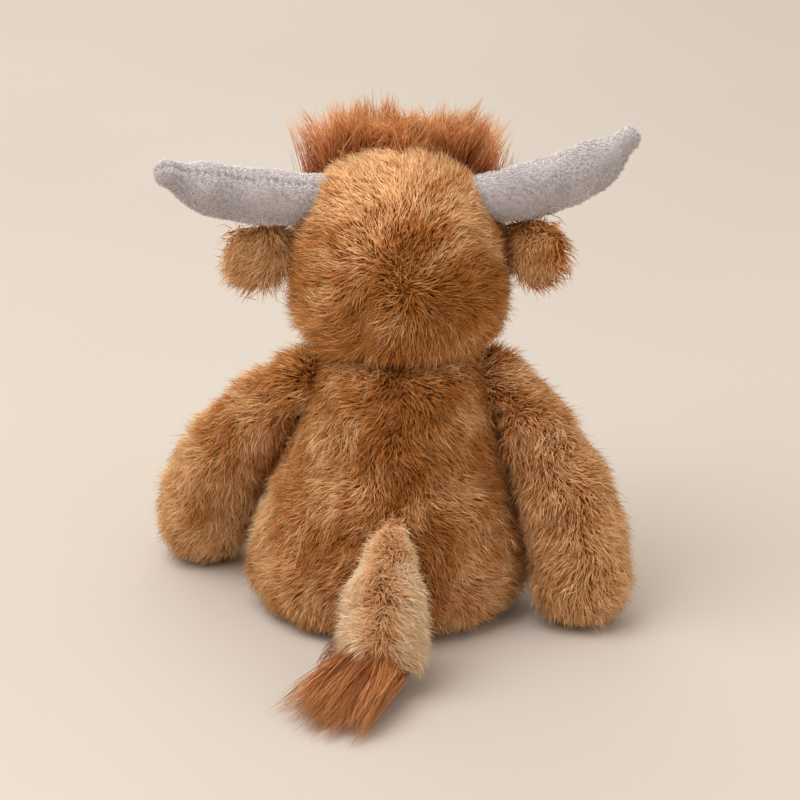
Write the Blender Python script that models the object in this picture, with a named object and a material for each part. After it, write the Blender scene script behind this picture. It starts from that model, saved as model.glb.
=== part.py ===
"""A seated plush cow with horns, forelock, jointed head, limbs, ears and tail.

Metres, +Z up. The toy faces -Y and its own left is +X. The origin is the middle of the flat
seat, on the surface that the toy sits on. Covers are plush cloth with its pile pressed flat,
and the fillings inside them follow the same forms, drawn in by the cloth.
"""

import math

import bpy
import numpy as np
from mathutils import Matrix, Vector

X_AXIS = Vector((1, 0, 0))
Y_AXIS = Vector((0, 1, 0))
Z_AXIS = Vector((0, 0, 1))

# Cloth and clearances
SEAM_GAP = 0.0003
FILLING_GAP = 0.0005
PLUSH = 0.0050
VELOUR = 0.0026
FLOOR_FLAT = 0.0005
OVERRUN = 0.0100

# Torso
TORSO_HEIGHT = 0.1260
TORSO_WIDTH = 0.1190
TORSO_DEPTH = 0.1090
TORSO_LEAN = -0.0056
ROUND_FROM_HEIGHT = 0.1000
BASE_PANEL_HEIGHT = 0.0062
POUCH_WIDTH = 0.0660
POUCH_DEPTH = 0.0480
POUCH_HEIGHT = 0.0200
POUCH_SET_BACK = 0.0060
TORSO_SHARES = (
    (0.0, 0.0), (0.0, 0.40), (0.0, 0.76), (0.015, 0.87), (0.060, 0.95), (0.145, 1.0), (0.28, 0.975),
    (0.40, 0.895), (0.57, 0.765), (0.75, 0.665), (0.88, 0.605), (0.945, 0.51), (0.985, 0.29), (1.0, 0.0),
)
POUCH_SHARES = ((0.0, 0.0), (0.0, 0.60), (0.12, 0.88), (0.45, 1.0), (0.80, 0.84), (0.97, 0.45), (1.0, 0.0))

# Neck
NECK_SINK = 0.0090
NECK_HEIGHT = TORSO_HEIGHT - NECK_SINK
NECK_RADIUS = 0.0120
NOD = 10.0
HOLLOW_STEPS = 6

# Head
HEAD_SINK = 0.0048
HEAD_BOTTOM = TORSO_HEIGHT - HEAD_SINK
HEAD_HEIGHT = 0.0850
HEAD_WIDTH = 0.0930
HEAD_DEPTH = 0.0900
HEAD_FORWARD = 0.0050
FACE_SEAM_FORWARD = 0.0210
HEAD_SHARES = (
    (0.0, 0.0), (0.0, 0.38), (0.006, 0.66), (0.040, 0.815), (0.115, 0.91), (0.25, 0.98), (0.42, 1.0),
    (0.60, 0.965), (0.755, 0.865), (0.875, 0.685), (0.955, 0.45), (0.99, 0.22), (1.0, 0.0),
)

# Muzzle
MUZZLE_WIDTH = 0.0600
MUZZLE_HEIGHT = 0.453 * HEAD_HEIGHT
MUZZLE_DEPTH = 0.0520
MUZZLE_BOTTOM = HEAD_BOTTOM + 0.068 * HEAD_HEIGHT
MUZZLE_FORWARD = 0.0460
MUZZLE_SHARES = (
    (0.0, 0.0), (0.012, 0.34), (0.075, 0.70), (0.22, 0.91), (0.42, 1.0), (0.62, 0.97), (0.81, 0.80),
    (0.935, 0.50), (0.985, 0.26), (1.0, 0.0),
)

# Eyes
EYE_RADIUS = 0.0056
EYE_BULGE = 0.0042
EYE_RIM = 0.0008
EYE_SPREAD = 0.0420
EYE_HEIGHT = HEAD_BOTTOM + 0.598 * HEAD_HEIGHT
SHANK_RADIUS = 0.0019
WASHER_RADIUS = 0.0062
WASHER_THICKNESS = 0.0016
SHANK_END = 0.0014

# Forelock
FORELOCK_WIDTH = 0.0800
FORELOCK_DEPTH = 0.0500
FORELOCK_HEIGHT = 0.0460
FORELOCK_RISE = 0.0188
FORELOCK_TOP = HEAD_BOTTOM + HEAD_HEIGHT + FORELOCK_RISE
FORELOCK_FORWARD = 0.0270
LOCK_DEPTH = 0.0022
LOCK_COUNT = 11
FORELOCK_SHARES = (
    (0.0, 0.0), (0.015, 0.30), (0.08, 0.56), (0.24, 0.74), (0.45, 0.88), (0.64, 1.0), (0.80, 0.90),
    (0.92, 0.62), (0.98, 0.32), (1.0, 0.0),
)

# Horns
HORN_ROOT_FORWARD = 0.0030
HORN_ROOT_HEIGHT = HEAD_BOTTOM + 0.739 * HEAD_HEIGHT
HORN_ROOT_DEPTH = 0.0140
HORN_FLEX = 15.0
HORN_REACH = 0.0550
HORN_RISE = 0.0265
HORN_BEND_OUT = 0.0345
HORN_BEND_RISE = 0.0040
HORN_ROOT_RADIUS = 0.0100
HORN_BELLY_RADIUS = 0.0122
HORN_BEND_RADIUS = 0.0116
HORN_TIP_RADIUS = 0.0060
LEFT_HORN_DROOP = 4.0
LEFT_HORN_ROLL = 40.0
RIGHT_HORN_DROOP = 0.0
RIGHT_HORN_ROLL = 0.0

# Ears
EAR_FLAP = 40.0
EAR_LENGTH = 0.0275
EAR_WIDTH = 0.0280
EAR_THICKNESS = 0.0090
EAR_ROOT_WIDTH = 0.0180
EAR_ROOT_HEIGHT = HEAD_BOTTOM + 0.527 * HEAD_HEIGHT
EAR_ROOT_FORWARD = 0.0060
LEFT_EAR_DROOP = 36.0
LEFT_EAR_BACK = 0.0
RIGHT_EAR_DROOP = 21.0
RIGHT_EAR_BACK = 45.0

# Arms
SHOULDER_STAND_OFF = 0.0028
SHOULDER_DROP = 0.0200
SHOULDER_HEIGHT = TORSO_HEIGHT - SHOULDER_DROP
SHOULDER_RADIUS = 0.0130
UPPER_ARM_RADIUS = 0.0170
FOREARM_RADIUS = 0.0208
PAW_RADIUS = 0.0215
ARM_BOW = 0.0165
ARM_SWING_TILT = 24.0
ARM_FORWARD = 82.0
ARM_BACK = 40.0
ARM_DISH_RADIUS = 0.0255
CUP_ANGLE = 60.0
SHOULDER_CUP_ANGLE = 36.0
ARM_CLEARANCE = 0.0018
ARM_FILLING_GAP = 0.0016
LEFT_PAW_GAP = 0.0034
LEFT_PAW_FORWARD = 0.0500
RIGHT_PAW_GAP = 0.0022
RIGHT_PAW_FORWARD = -0.0220

# Legs
HIP_OUT_SHARE = 0.4538
HIP_STAND_OFF = 0.0034
HIP_RADIUS = 0.0175
SHIN_RADIUS = 0.0190
FOOT_RADIUS = 0.0230
LEG_LENGTH = 0.0730
LEG_SPLAY = 0.0160
SOLE_RADIUS = 0.0160
LEG_DISH_FLARE = 0.0060

# Tail
TAIL_ROOT_HEIGHT = 0.0540
TAIL_ROOT_RADIUS = 0.0068
TAIL_BODY_RADIUS = 0.0112
TAIL_LOWER_RADIUS = 0.0160
TAIL_END_RADIUS = 0.0172
TAIL_REACH = 0.0424
TAIL_SWEEP = 0.0050
TAIL_BOW = 0.0180
TAIL_DISH_FLARE = 0.0050
TASSEL_DISH_FLARE = 0.0090
TASSEL_STAND_OFF = 0.0088
TASSEL_ROOT_RADIUS = 0.0090
TASSEL_LENGTH = 0.0510
TASSEL_WIDTH = 0.0420
TASSEL_THICKNESS = 0.0130
TASSEL_ANGLE = 22.0
TASSEL_LOCKS = 9
TASSEL_LOCK_DEPTH = 0.0016

# Faceting
TORSO_SIDES = 24
HEAD_SIDES = 24
SMALL_SIDES = 16
LIMB_SIDES = 14
BUTTON_SIDES = 20
CAP_STEPS = 3
PATH_STEPS = 6
CURVE_STEPS = 12
FACE_SAMPLES = 6
SHARP_ANGLE = math.radians(50)


class Form:
    """A closed surface of rings, which can be drawn in or let out along its normals."""

    def __init__(self, rings):
        points = []
        rows = []
        for ring in rings:
            rows.append(range(len(points), len(points) + len(ring)))
            points.extend(ring)
        self.points = np.array(points, float)
        self.faces = []
        for lower, upper in zip(rows, rows[1:]):
            self.faces.extend(band(lower, upper))
        if self.volume() < 0:
            self.faces = [face[::-1] for face in self.faces]

    def volume(self):
        """Signed: the sum of the wedges from the origin to each face."""
        return sum(
            np.dot(self.points[face[0]], np.cross(self.points[face[i]], self.points[face[i + 1]]))
            for face in self.faces
            for i in range(1, len(face) - 1)
        )

    def normals(self):
        """The mean of the neighbouring faces' normals, larger faces counting for more."""
        total = np.zeros_like(self.points)
        for face in self.faces:
            corners = self.points[list(face)]
            normal = sum(
                np.cross(corners[i] - corners[0], corners[i + 1] - corners[0])
                for i in range(1, len(face) - 1)
            )
            total[list(face)] += normal
        return total / np.linalg.norm(total, axis=1, keepdims=True)

    def samples(self):
        """Points spread over every face, mixed from its corners."""
        spread = np.linspace(0, 1, FACE_SAMPLES)
        u, v = (grid.reshape(-1, 1) for grid in np.meshgrid(spread, spread))
        found = []
        for face in self.faces:
            a, b, c = self.points[list(face[:3])]
            d = self.points[face[-1]]
            found.append(a * (1 - u) * (1 - v) + b * u * (1 - v) + c * u * v + d * (1 - u) * v)
        return np.concatenate(found)

    def drawn_in(self, distance):
        copy = self.moved(Matrix.Identity(4))
        copy.points = self.points - distance * self.normals()
        return copy

    def moved(self, matrix):
        copy = Form([])
        turn = np.array(matrix.to_3x3())
        copy.points = self.points @ turn.T + np.array(matrix.translation)
        mirrored = matrix.determinant() < 0
        copy.faces = [face[::-1] for face in self.faces] if mirrored else self.faces
        return copy


def band(lower, upper):
    """Faces between two rings, either of which may be a single pole."""
    if len(lower) == 1:
        return [(lower[0], upper[i], upper[i - 1]) for i in range(len(upper))]
    if len(upper) == 1:
        return [(lower[i - 1], lower[i], upper[0]) for i in range(len(lower))]
    return [(lower[i - 1], lower[i], upper[i], upper[i - 1]) for i in range(len(lower))]


def smooth_profile(shares, steps):
    """A Catmull-Rom curve through the stations of a profile, which keeps both ends."""
    stations = [np.array(share, float) for share in shares]
    padded = [stations[0]] + stations + [stations[-1]]
    curve = [stations[0]]
    for before, start, end, after in zip(padded, padded[1:], padded[2:], padded[3:]):
        for step in range(1, steps + 1):
            t = step / steps
            point = 0.5 * (
                2 * start
                + (end - before) * t
                + (2 * before - 5 * start + 4 * end - after) * t**2
                + (3 * start - before - 3 * end + after) * t**3
            )
            curve.append(point)
    return np.array(curve)


def width_share_at(shares, height_share):
    curve = smooth_profile(shares, CURVE_STEPS)
    return float(np.interp(height_share, curve[1:, 0], curve[1:, 1]))


def turned_form(shares, size, place, sides, lean=None, rounding=None):
    """Oval rings stacked along Z on a profile of (height share, width share), from pole to pole.

    lean(height) moves a ring's middle, and rounding(height) brings its depth to its width.
    """
    width, depth, height = size
    rings = []
    for height_share, width_share in shares:
        level = height * height_share
        middle = Vector(place) + (lean(level) if lean else Vector())
        round_share = rounding(level) if rounding else 0.0
        half_width = width / 2 * width_share
        half_depth = half_width * (depth / width + (1 - depth / width) * round_share)
        if width_share == 0.0:
            rings.append([(middle.x, middle.y, middle.z + level)])
            continue
        angles = [math.tau * side / sides for side in range(sides)]
        rings.append([
            (middle.x + half_width * math.cos(a), middle.y + half_depth * math.sin(a), middle.z + level)
            for a in angles
        ])
    return Form(rings)


def bezier(start, bend, end, t):
    return start * (1 - t) ** 2 + bend * (2 * t * (1 - t)) + end * t**2


def bezier_heading(start, bend, end, t):
    return ((bend - start) * (1 - t) + (end - bend) * t).normalized()


def limb_form(start, bend, end, radii, sides, end_length=None, end_power=1.0, up=Z_AXIS):
    """A tube along a bent path whose start is half a ball round the start point.

    radii are spread evenly along the path. The far cap is end_length long, and an end_power
    under 1 makes it flatter.
    """
    heights = np.linspace(0, 1, len(radii))
    end_length = radii[-1] if end_length is None else end_length
    rings = []

    def ring(middle, heading, radius):
        side = heading.cross(up).normalized()
        rise = side.cross(heading).normalized()
        angles = [math.tau * i / sides for i in range(sides)]
        return [tuple(middle + (side * math.cos(a) + rise * math.sin(a)) * radius) for a in angles]

    heading = bezier_heading(start, bend, end, 0.0)
    rings.append([tuple(start - heading * radii[0])])
    for step in range(1, CAP_STEPS):
        angle = math.pi / 2 * step / CAP_STEPS
        middle = start - heading * radii[0] * math.cos(angle)
        rings.append(ring(middle, heading, radii[0] * math.sin(angle)))
    for step in range(PATH_STEPS + 1):
        t = step / PATH_STEPS
        radius = radius_along(radii, heights, t)
        rings.append(ring(bezier(start, bend, end, t), bezier_heading(start, bend, end, t), radius))
    heading = bezier_heading(start, bend, end, 1.0)
    for step in range(1, CAP_STEPS):
        angle = math.pi / 2 * step / CAP_STEPS
        middle = end + heading * end_length * math.sin(angle)
        rings.append(ring(middle, heading, radii[-1] * math.cos(angle) ** end_power))
    rings.append([tuple(end + heading * end_length)])
    return Form(rings)


def radius_along(radii, places, t):
    """Eased between the named radii, so that the tube swells and tapers without a kink."""
    index = min(int(np.searchsorted(places, t, side="right")) - 1, len(radii) - 2)
    share = (t - places[index]) / (places[index + 1] - places[index])
    eased = (1 - math.cos(math.pi * share)) / 2
    return radii[index] * (1 - eased) + radii[index + 1] * eased


def turn_about(pivot, axis, degrees):
    rotation = Matrix.Rotation(math.radians(degrees), 4, axis)
    return Matrix.Translation(pivot) @ rotation @ Matrix.Translation(-pivot)


def material(name, colour, roughness):
    made = bpy.data.materials.new(name)
    made.use_nodes = True
    shader = made.node_tree.nodes["Principled BSDF"]
    shader.inputs["Base Color"].default_value = (*colour, 1.0)
    shader.inputs["Roughness"].default_value = roughness
    shader.inputs["Metallic"].default_value = 0.0
    made.diffuse_color = (*colour, 1.0)
    return made


class Pivot:
    """An empty on a joint's axis, which carries the pieces that move on that joint."""

    def __init__(self, name, place, axis, parent=None):
        self.place = Vector(place)
        self.empty = bpy.data.objects.new(name, None)
        self.empty.empty_display_size = NECK_RADIUS
        self.empty.location = self.place - (parent.place if parent else Vector())
        self.empty.parent = parent.empty if parent else None
        self.empty["hinge_axis"] = tuple(Vector(axis).normalized())
        bpy.context.scene.collection.objects.link(self.empty)


def placed(name, form, pivot=None):
    origin = np.array(pivot.place) if pivot else np.zeros(3)
    mesh = bpy.data.meshes.new(name)
    mesh.from_pydata([tuple(point) for point in form.points - origin], [], form.faces)
    mesh.update()
    mesh.shade_smooth()
    mesh.set_sharp_from_angle(angle=SHARP_ANGLE)
    obj = bpy.data.objects.new(name, mesh)
    bpy.context.scene.collection.objects.link(obj)
    obj.parent = pivot.empty if pivot else None
    return obj


def piece(name, form, finish, pivot=None):
    obj = placed(name, form, pivot)
    obj.data.materials.append(finish)
    return obj


def cutter(name, form):
    obj = placed(name, form)
    obj.hide_render = True
    obj.display_type = "WIRE"
    return obj


def cut(obj, *tools):
    for tool in tools:
        change = obj.modifiers.new(f"without {tool.name}", "BOOLEAN")
        change.operation = "DIFFERENCE"
        change.solver = "EXACT"
        change.object = tool


def keep_inside(obj, tool):
    change = obj.modifiers.new(f"inside {tool.name}", "BOOLEAN")
    change.operation = "INTERSECT"
    change.solver = "EXACT"
    change.object = tool


def box_form(low, high):
    corners = [
        [(x, y, z) for x, y in ((low[0], low[1]), (high[0], low[1]), (high[0], high[1]), (low[0], high[1]))]
        for z in (low[2], high[2])
    ]
    form = Form(corners)
    form.faces = form.faces + [(3, 2, 1, 0), (4, 5, 6, 7)]
    return form


def ball_form(centre, radius, sides=SMALL_SIDES):
    rings = [[(centre.x, centre.y, centre.z - radius)]]
    levels = sides // 2
    for level in range(1, levels):
        angle = math.pi * level / levels
        ring_radius = radius * math.sin(angle)
        rings.append([
            (
                centre.x + ring_radius * math.cos(math.tau * i / sides),
                centre.y + ring_radius * math.sin(math.tau * i / sides),
                centre.z - radius * math.cos(angle),
            )
            for i in range(sides)
        ])
    rings.append([(centre.x, centre.y, centre.z + radius)])
    return Form(rings)


def peg_form(profile, place, axis, sides=BUTTON_SIDES):
    """A profile of (distance along the axis, radius) turned round the axis; a radius of 0 is a pole."""
    turn = Z_AXIS.rotation_difference(axis).to_matrix()
    rings = []
    for along, radius in profile:
        count = sides if radius > 0 else 1
        rings.append([
            tuple(place + turn @ Vector((
                radius * math.cos(math.tau * i / sides),
                radius * math.sin(math.tau * i / sides),
                along,
            )))
            for i in range(count)
        ])
    return Form(rings)


def torso_lean(level):
    return Vector((TORSO_LEAN * min(level / ROUND_FROM_HEIGHT, 1.0), 0, 0))


def torso_rounding(level):
    share = min(level / ROUND_FROM_HEIGHT, 1.0)
    return share**2


def torso_half_width(height):
    return TORSO_WIDTH / 2 * width_share_at(TORSO_SHARES, height / TORSO_HEIGHT)


def torso_half_depth(height):
    flat = TORSO_DEPTH / TORSO_WIDTH
    return torso_half_width(height) * (flat + (1 - flat) * torso_rounding(height))


def head_surface(out, height):
    """A point of the head's front at this distance from its middle and this height, and its normal."""
    def forward(x, z):
        half = HEAD_WIDTH / 2 * width_share_at(HEAD_SHARES, (z - HEAD_BOTTOM) / HEAD_HEIGHT)
        return -HEAD_FORWARD - HEAD_DEPTH / HEAD_WIDTH * math.sqrt(max(half**2 - x**2, 0.0))

    step = SEAM_GAP
    slope_x = (forward(out + step, height) - forward(out - step, height)) / (2 * step)
    slope_z = (forward(out, height + step) - forward(out, height - step)) / (2 * step)
    point = Vector((TORSO_LEAN + out, forward(out, height), height))
    return point, Vector((slope_x, -1.0, slope_z)).normalized()


def head_half_width(height, back):
    """The head's half width at a height, this far back from the middle of its depth."""
    half = HEAD_WIDTH / 2 * width_share_at(HEAD_SHARES, (height - HEAD_BOTTOM) / HEAD_HEIGHT)
    half_depth = half * HEAD_DEPTH / HEAD_WIDTH
    return half * math.sqrt(max(1 - (back / half_depth) ** 2, 0.0))


class Finishes:
    """The colours of the toy's cloths and buttons."""

    def __init__(self):
        self.plush = material("tan_plush", (0.36, 0.16, 0.055), 0.95)
        self.pale_plush = material("pale_plush", (0.46, 0.26, 0.13), 0.95)
        self.muzzle = material("cream_plush", (0.68, 0.52, 0.36), 0.95)
        self.hair = material("rust_hair", (0.31, 0.11, 0.035), 0.8)
        self.horn = material("grey_velour", (0.42, 0.37, 0.37), 0.9)
        self.lining = material("ear_lining", (0.30, 0.13, 0.05), 0.95)
        self.sole = material("sole_suede", (0.26, 0.20, 0.17), 0.9)
        self.filling = material("white_filling", (0.85, 0.85, 0.83), 1.0)
        self.pouch = material("pouch_cotton", (0.75, 0.71, 0.62), 0.9)
        self.eye = material("black_bead", (0.01, 0.008, 0.007), 0.08)
        self.washer = material("washer_plastic", (0.8, 0.8, 0.78), 0.4)


def half_space(name, place, normal, reach):
    """A block whose one face lies half a seam gap in front of the plane through place."""
    turn = Z_AXIS.rotation_difference(normal).to_matrix().to_4x4()
    block = box_form((-reach, -reach, SEAM_GAP / 2), (reach, reach, reach))
    return cutter(name, block.moved(Matrix.Translation(place) @ turn))


def make_torso(finish):
    size = (TORSO_WIDTH, TORSO_DEPTH, TORSO_HEIGHT)
    form = turned_form(TORSO_SHARES, size, (0, 0, 0), TORSO_SIDES, torso_lean, torso_rounding)
    inside = cutter("torso_inside", form.drawn_in(PLUSH))
    base_band = half_space("base_band", Vector((0, 0, BASE_PANEL_HEIGHT)), -Z_AXIS, TORSO_WIDTH)
    above_base = half_space("above_base", Vector((0, 0, BASE_PANEL_HEIGHT)), Z_AXIS, 2 * TORSO_HEIGHT)
    front = half_space("torso_front", Vector(), -Y_AXIS, 2 * TORSO_HEIGHT)
    back = half_space("torso_back", Vector(), Y_AXIS, 2 * TORSO_HEIGHT)
    seam_normal = Vector((TORSO_HEIGHT, 0, -TORSO_LEAN)).normalized()
    left = half_space("torso_left", Vector(), seam_normal, 2 * TORSO_HEIGHT)
    right = half_space("torso_right", Vector(), -seam_normal, 2 * TORSO_HEIGHT)
    panels = {
        "torso_base_panel": (base_band,),
        "torso_belly_panel": (above_base, front),
        "torso_back_left_panel": (above_base, back, left),
        "torso_back_right_panel": (above_base, back, right),
    }
    made = []
    for name, sides in panels.items():
        panel = piece(name, form, finish.plush)
        cut(panel, inside)
        for side in sides:
            keep_inside(panel, side)
        made.append(panel)
    pouch_size = (POUCH_WIDTH, POUCH_DEPTH, POUCH_HEIGHT)
    pouch_form = turned_form(
        POUCH_SHARES, pouch_size, (0, POUCH_SET_BACK, PLUSH + SEAM_GAP), SMALL_SIDES
    )
    piece("bean_pouch", pouch_form, finish.pouch)
    wad = turned_form(TORSO_SHARES, size, (0, 0, 0), TORSO_SIDES // 2, torso_lean, torso_rounding)
    filling = piece("torso_filling", wad.drawn_in(PLUSH + FILLING_GAP), finish.filling)
    cut(filling, cutter("pouch_room", pouch_form.drawn_in(-SEAM_GAP)))
    return form, made, filling


def hollow_form(torso_form, pivot):
    """A turned dome that holds the top of the torso however the head nods."""
    above = torso_form.samples() - np.array(pivot)
    radii = []
    levels = []
    for turn in np.radians((-NOD, 0.0, NOD)):
        back = above[:, 1] * np.cos(turn) - above[:, 2] * np.sin(turn)
        levels.append(above[:, 1] * np.sin(turn) + above[:, 2] * np.cos(turn))
        radii.append(np.hypot(above[:, 0], back))
    radii = np.concatenate(radii)
    levels = np.concatenate(levels)
    widest = torso_half_width(SHOULDER_HEIGHT)
    ring_radii = np.linspace(0.0, widest, HOLLOW_STEPS + 1)
    step = ring_radii[1]
    rings = [(levels[np.abs(radii - ring) < step].max() + FILLING_GAP, ring) for ring in ring_radii]
    rings += [(-NECK_HEIGHT, ring_radii[-1]), (-NECK_HEIGHT, 0.0)]
    return peg_form(rings, Vector(pivot), Z_AXIS)


def make_head(finish, torso_form, nod):
    size = (HEAD_WIDTH, HEAD_DEPTH, HEAD_HEIGHT)
    place = (TORSO_LEAN, -HEAD_FORWARD, HEAD_BOTTOM)
    form = turned_form(HEAD_SHARES, size, place, HEAD_SIDES)
    inside = cutter("head_inside", form.drawn_in(PLUSH))
    seam = Vector((TORSO_LEAN, -FACE_SEAM_FORWARD, 0))
    face_side = half_space("face_side", seam, -Y_AXIS, 2 * HEAD_BOTTOM)
    nape_side = half_space("nape_side", seam, Y_AXIS, 2 * HEAD_BOTTOM)
    left = half_space("head_left", seam, X_AXIS, 2 * HEAD_BOTTOM)
    right = half_space("head_right", seam, -X_AXIS, 2 * HEAD_BOTTOM)
    panels = {
        "head_face_panel": (face_side,),
        "head_back_left_panel": (nape_side, left),
        "head_back_right_panel": (nape_side, right),
    }
    hollow = cutter("neck_hollow", hollow_form(torso_form, nod.place))
    made = []
    for name, sides in panels.items():
        panel = piece(name, form, finish.plush, nod)
        cut(panel, inside)
        for side in sides:
            keep_inside(panel, side)
        cut(panel, hollow)
        made.append(panel)
    wad = turned_form(HEAD_SHARES, size, place, HEAD_SIDES // 2)
    filling = piece("head_filling", wad.drawn_in(PLUSH + FILLING_GAP), finish.filling, nod)
    cut(filling, hollow)
    return form, made, filling


def make_neck(finish, turn, torso_pieces, head_pieces):
    piece("neck_wad", ball_form(turn.place, NECK_RADIUS), finish.filling, turn)
    room = cutter("neck_room", ball_form(turn.place, NECK_RADIUS + SEAM_GAP))
    for obj in torso_pieces + head_pieces:
        cut(obj, room)


def make_muzzle(finish, head_form, nod):
    size = (MUZZLE_WIDTH, MUZZLE_DEPTH, MUZZLE_HEIGHT)
    place = (TORSO_LEAN, -MUZZLE_FORWARD, MUZZLE_BOTTOM)
    form = turned_form(MUZZLE_SHARES, size, place, SMALL_SIDES)
    face = cutter("face_under_muzzle", head_form.drawn_in(-SEAM_GAP))
    cover = piece("muzzle_cover", form, finish.muzzle, nod)
    cut(cover, cutter("muzzle_inside", form.drawn_in(PLUSH)), face)
    filling = piece("muzzle_filling", form.drawn_in(PLUSH + SEAM_GAP), finish.filling, nod)
    cut(filling, face)


def make_eyes(finish, face_panel, head_filling, nod):
    rim = (0.0, EYE_RADIUS), (EYE_RIM, EYE_RADIUS)
    dome = [
        (EYE_RIM + EYE_BULGE * math.sin(angle), EYE_RADIUS * math.cos(angle))
        for angle in (math.pi / 2 * step / CAP_STEPS for step in range(1, CAP_STEPS))
    ]
    sagitta = WASHER_RADIUS**2 / HEAD_HEIGHT * 2
    washer_top = -(PLUSH + sagitta + FILLING_GAP)
    shank_end = washer_top - WASHER_THICKNESS - SHANK_END
    eye_profile = [(shank_end, 0.0), (shank_end, SHANK_RADIUS), (0.0, SHANK_RADIUS), *rim, *dome]
    eye_profile.append((EYE_RIM + EYE_BULGE, 0.0))
    for side, name in ((1, "left"), (-1, "right")):
        point, normal = head_surface(side * EYE_SPREAD / 2, EYE_HEIGHT)
        seat = point + normal * SEAM_GAP
        piece(f"eye_{name}", peg_form(eye_profile, seat, normal), finish.eye, nod)
        washer_profile = (
            (washer_top - WASHER_THICKNESS, 0.0),
            (washer_top - WASHER_THICKNESS, WASHER_RADIUS),
            (washer_top, WASHER_RADIUS),
            (washer_top, 0.0),
        )
        washer = piece(f"eye_washer_{name}", peg_form(washer_profile, seat, normal), finish.washer, nod)
        bore_radius = SHANK_RADIUS + SEAM_GAP
        bore_profile = (
            (shank_end - OVERRUN, 0.0),
            (shank_end - OVERRUN, bore_radius),
            (OVERRUN, bore_radius),
            (OVERRUN, 0.0),
        )
        bore = cutter(f"shank_bore_{name}", peg_form(bore_profile, seat, normal))
        cut(washer, bore)
        cut(face_panel, bore)
        room_profile = (
            (shank_end - SEAM_GAP, 0.0),
            (shank_end - SEAM_GAP, WASHER_RADIUS + SEAM_GAP),
            (OVERRUN, WASHER_RADIUS + SEAM_GAP),
            (OVERRUN, 0.0),
        )
        cut(head_filling, cutter(f"washer_room_{name}", peg_form(room_profile, seat, normal)))


def make_forelock(finish, head_form, nod):
    size = (FORELOCK_WIDTH, FORELOCK_DEPTH, FORELOCK_HEIGHT)
    place = (TORSO_LEAN, -FORELOCK_FORWARD, FORELOCK_TOP - FORELOCK_HEIGHT)
    form = turned_form(FORELOCK_SHARES, size, place, 2 * LOCK_COUNT)
    middle = np.array((TORSO_LEAN, -FORELOCK_FORWARD, 0.0))
    across = form.points - middle
    turns = np.arctan2(across[:, 1], across[:, 0])
    heights = (form.points[:, 2] - place[2]) / FORELOCK_HEIGHT
    swell = LOCK_DEPTH * np.cos(LOCK_COUNT * turns) * np.sin(np.pi * heights)
    reach = np.linalg.norm(across[:, :2], axis=1) + SEAM_GAP
    form.points[:, 0] += swell * across[:, 0] / reach
    form.points[:, 1] += swell * across[:, 1] / reach
    tuft = piece("forelock", form, finish.hair, nod)
    cut(tuft, cutter("crown_under_forelock", head_form.drawn_in(-SEAM_GAP)))


def cleared(name, neighbour, pivot, angles):
    """Cutters in the shape of a neighbour, as a piece on this pivot meets it at each angle."""
    grown = neighbour.drawn_in(-SEAM_GAP)
    axis = Vector(pivot.empty["hinge_axis"])
    return [
        cutter(f"{name}_{index}", grown.moved(turn_about(pivot.place, axis, -angle)))
        for index, angle in enumerate(angles)
    ]


def socket_form(place, outward, radius, dish_radius, dish_rise, cup_angle):
    """A cup, rounded out to the cup angle, that opens into a cone. The limb's ball turns in it."""
    room = (radius + SEAM_GAP) / math.cos(math.pi / BUTTON_SIDES) ** 2
    profile = [(-room, 0.0)]
    for step in range(1, CAP_STEPS):
        angle = math.radians(cup_angle) * step / (CAP_STEPS - 1)
        profile.append((-room * math.cos(angle), room * math.sin(angle)))
    profile += [(dish_rise, dish_radius), (dish_rise + OVERRUN, dish_radius), (dish_rise + OVERRUN, 0.0)]
    return peg_form(profile, place, outward)


def horn_frame(side, droop, roll):
    """Outward is local +X. The roll leans the bend backwards and the droop lowers the tip."""
    out = head_half_width(HORN_ROOT_HEIGHT, HORN_ROOT_FORWARD - HEAD_FORWARD)
    root = Vector((TORSO_LEAN + side * out, -HORN_ROOT_FORWARD, HORN_ROOT_HEIGHT))
    mirror = Matrix.Scale(side, 4, X_AXIS)
    lean = Matrix.Rotation(math.radians(-roll), 4, "X")
    lower = Matrix.Rotation(math.radians(droop), 4, "Y")
    return Matrix.Translation(root) @ mirror @ lower @ lean


def make_horn(name, side, droop, roll, finish, head_form, nod):
    frame = horn_frame(side, droop, roll)
    radii = (HORN_ROOT_RADIUS, HORN_BELLY_RADIUS, HORN_BEND_RADIUS, HORN_TIP_RADIUS)
    start = Vector((-HORN_ROOT_DEPTH, 0, 0))
    bend = Vector((HORN_BEND_OUT, 0, HORN_BEND_RISE))
    tip = Vector((HORN_REACH, 0, HORN_RISE))
    form = limb_form(start, bend, tip, radii, LIMB_SIDES).moved(frame)
    root = frame.translation.copy()
    pivot = Pivot(f"{name}_flex", root, -side * Y_AXIS, nod)
    inside = cutter(f"{name}_inside", form.drawn_in(VELOUR))
    temples = cleared(f"{name}_temple", head_form, pivot, (-HORN_FLEX, 0.0, HORN_FLEX))
    back_normal = (frame.to_3x3() @ Y_AXIS).normalized()
    back_side = half_space(f"{name}_back_side", root, back_normal, 2 * HORN_REACH)
    front_side = half_space(f"{name}_front_side", root, -back_normal, 2 * HORN_REACH)
    for panel_name, half in ((f"{name}_back_panel", back_side), (f"{name}_front_panel", front_side)):
        panel = piece(panel_name, form, finish.horn, pivot)
        cut(panel, inside)
        keep_inside(panel, half)
        cut(panel, *temples)
    filling = piece(f"{name}_filling", form.drawn_in(VELOUR + SEAM_GAP), finish.filling, pivot)
    cut(filling, *temples)


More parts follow.
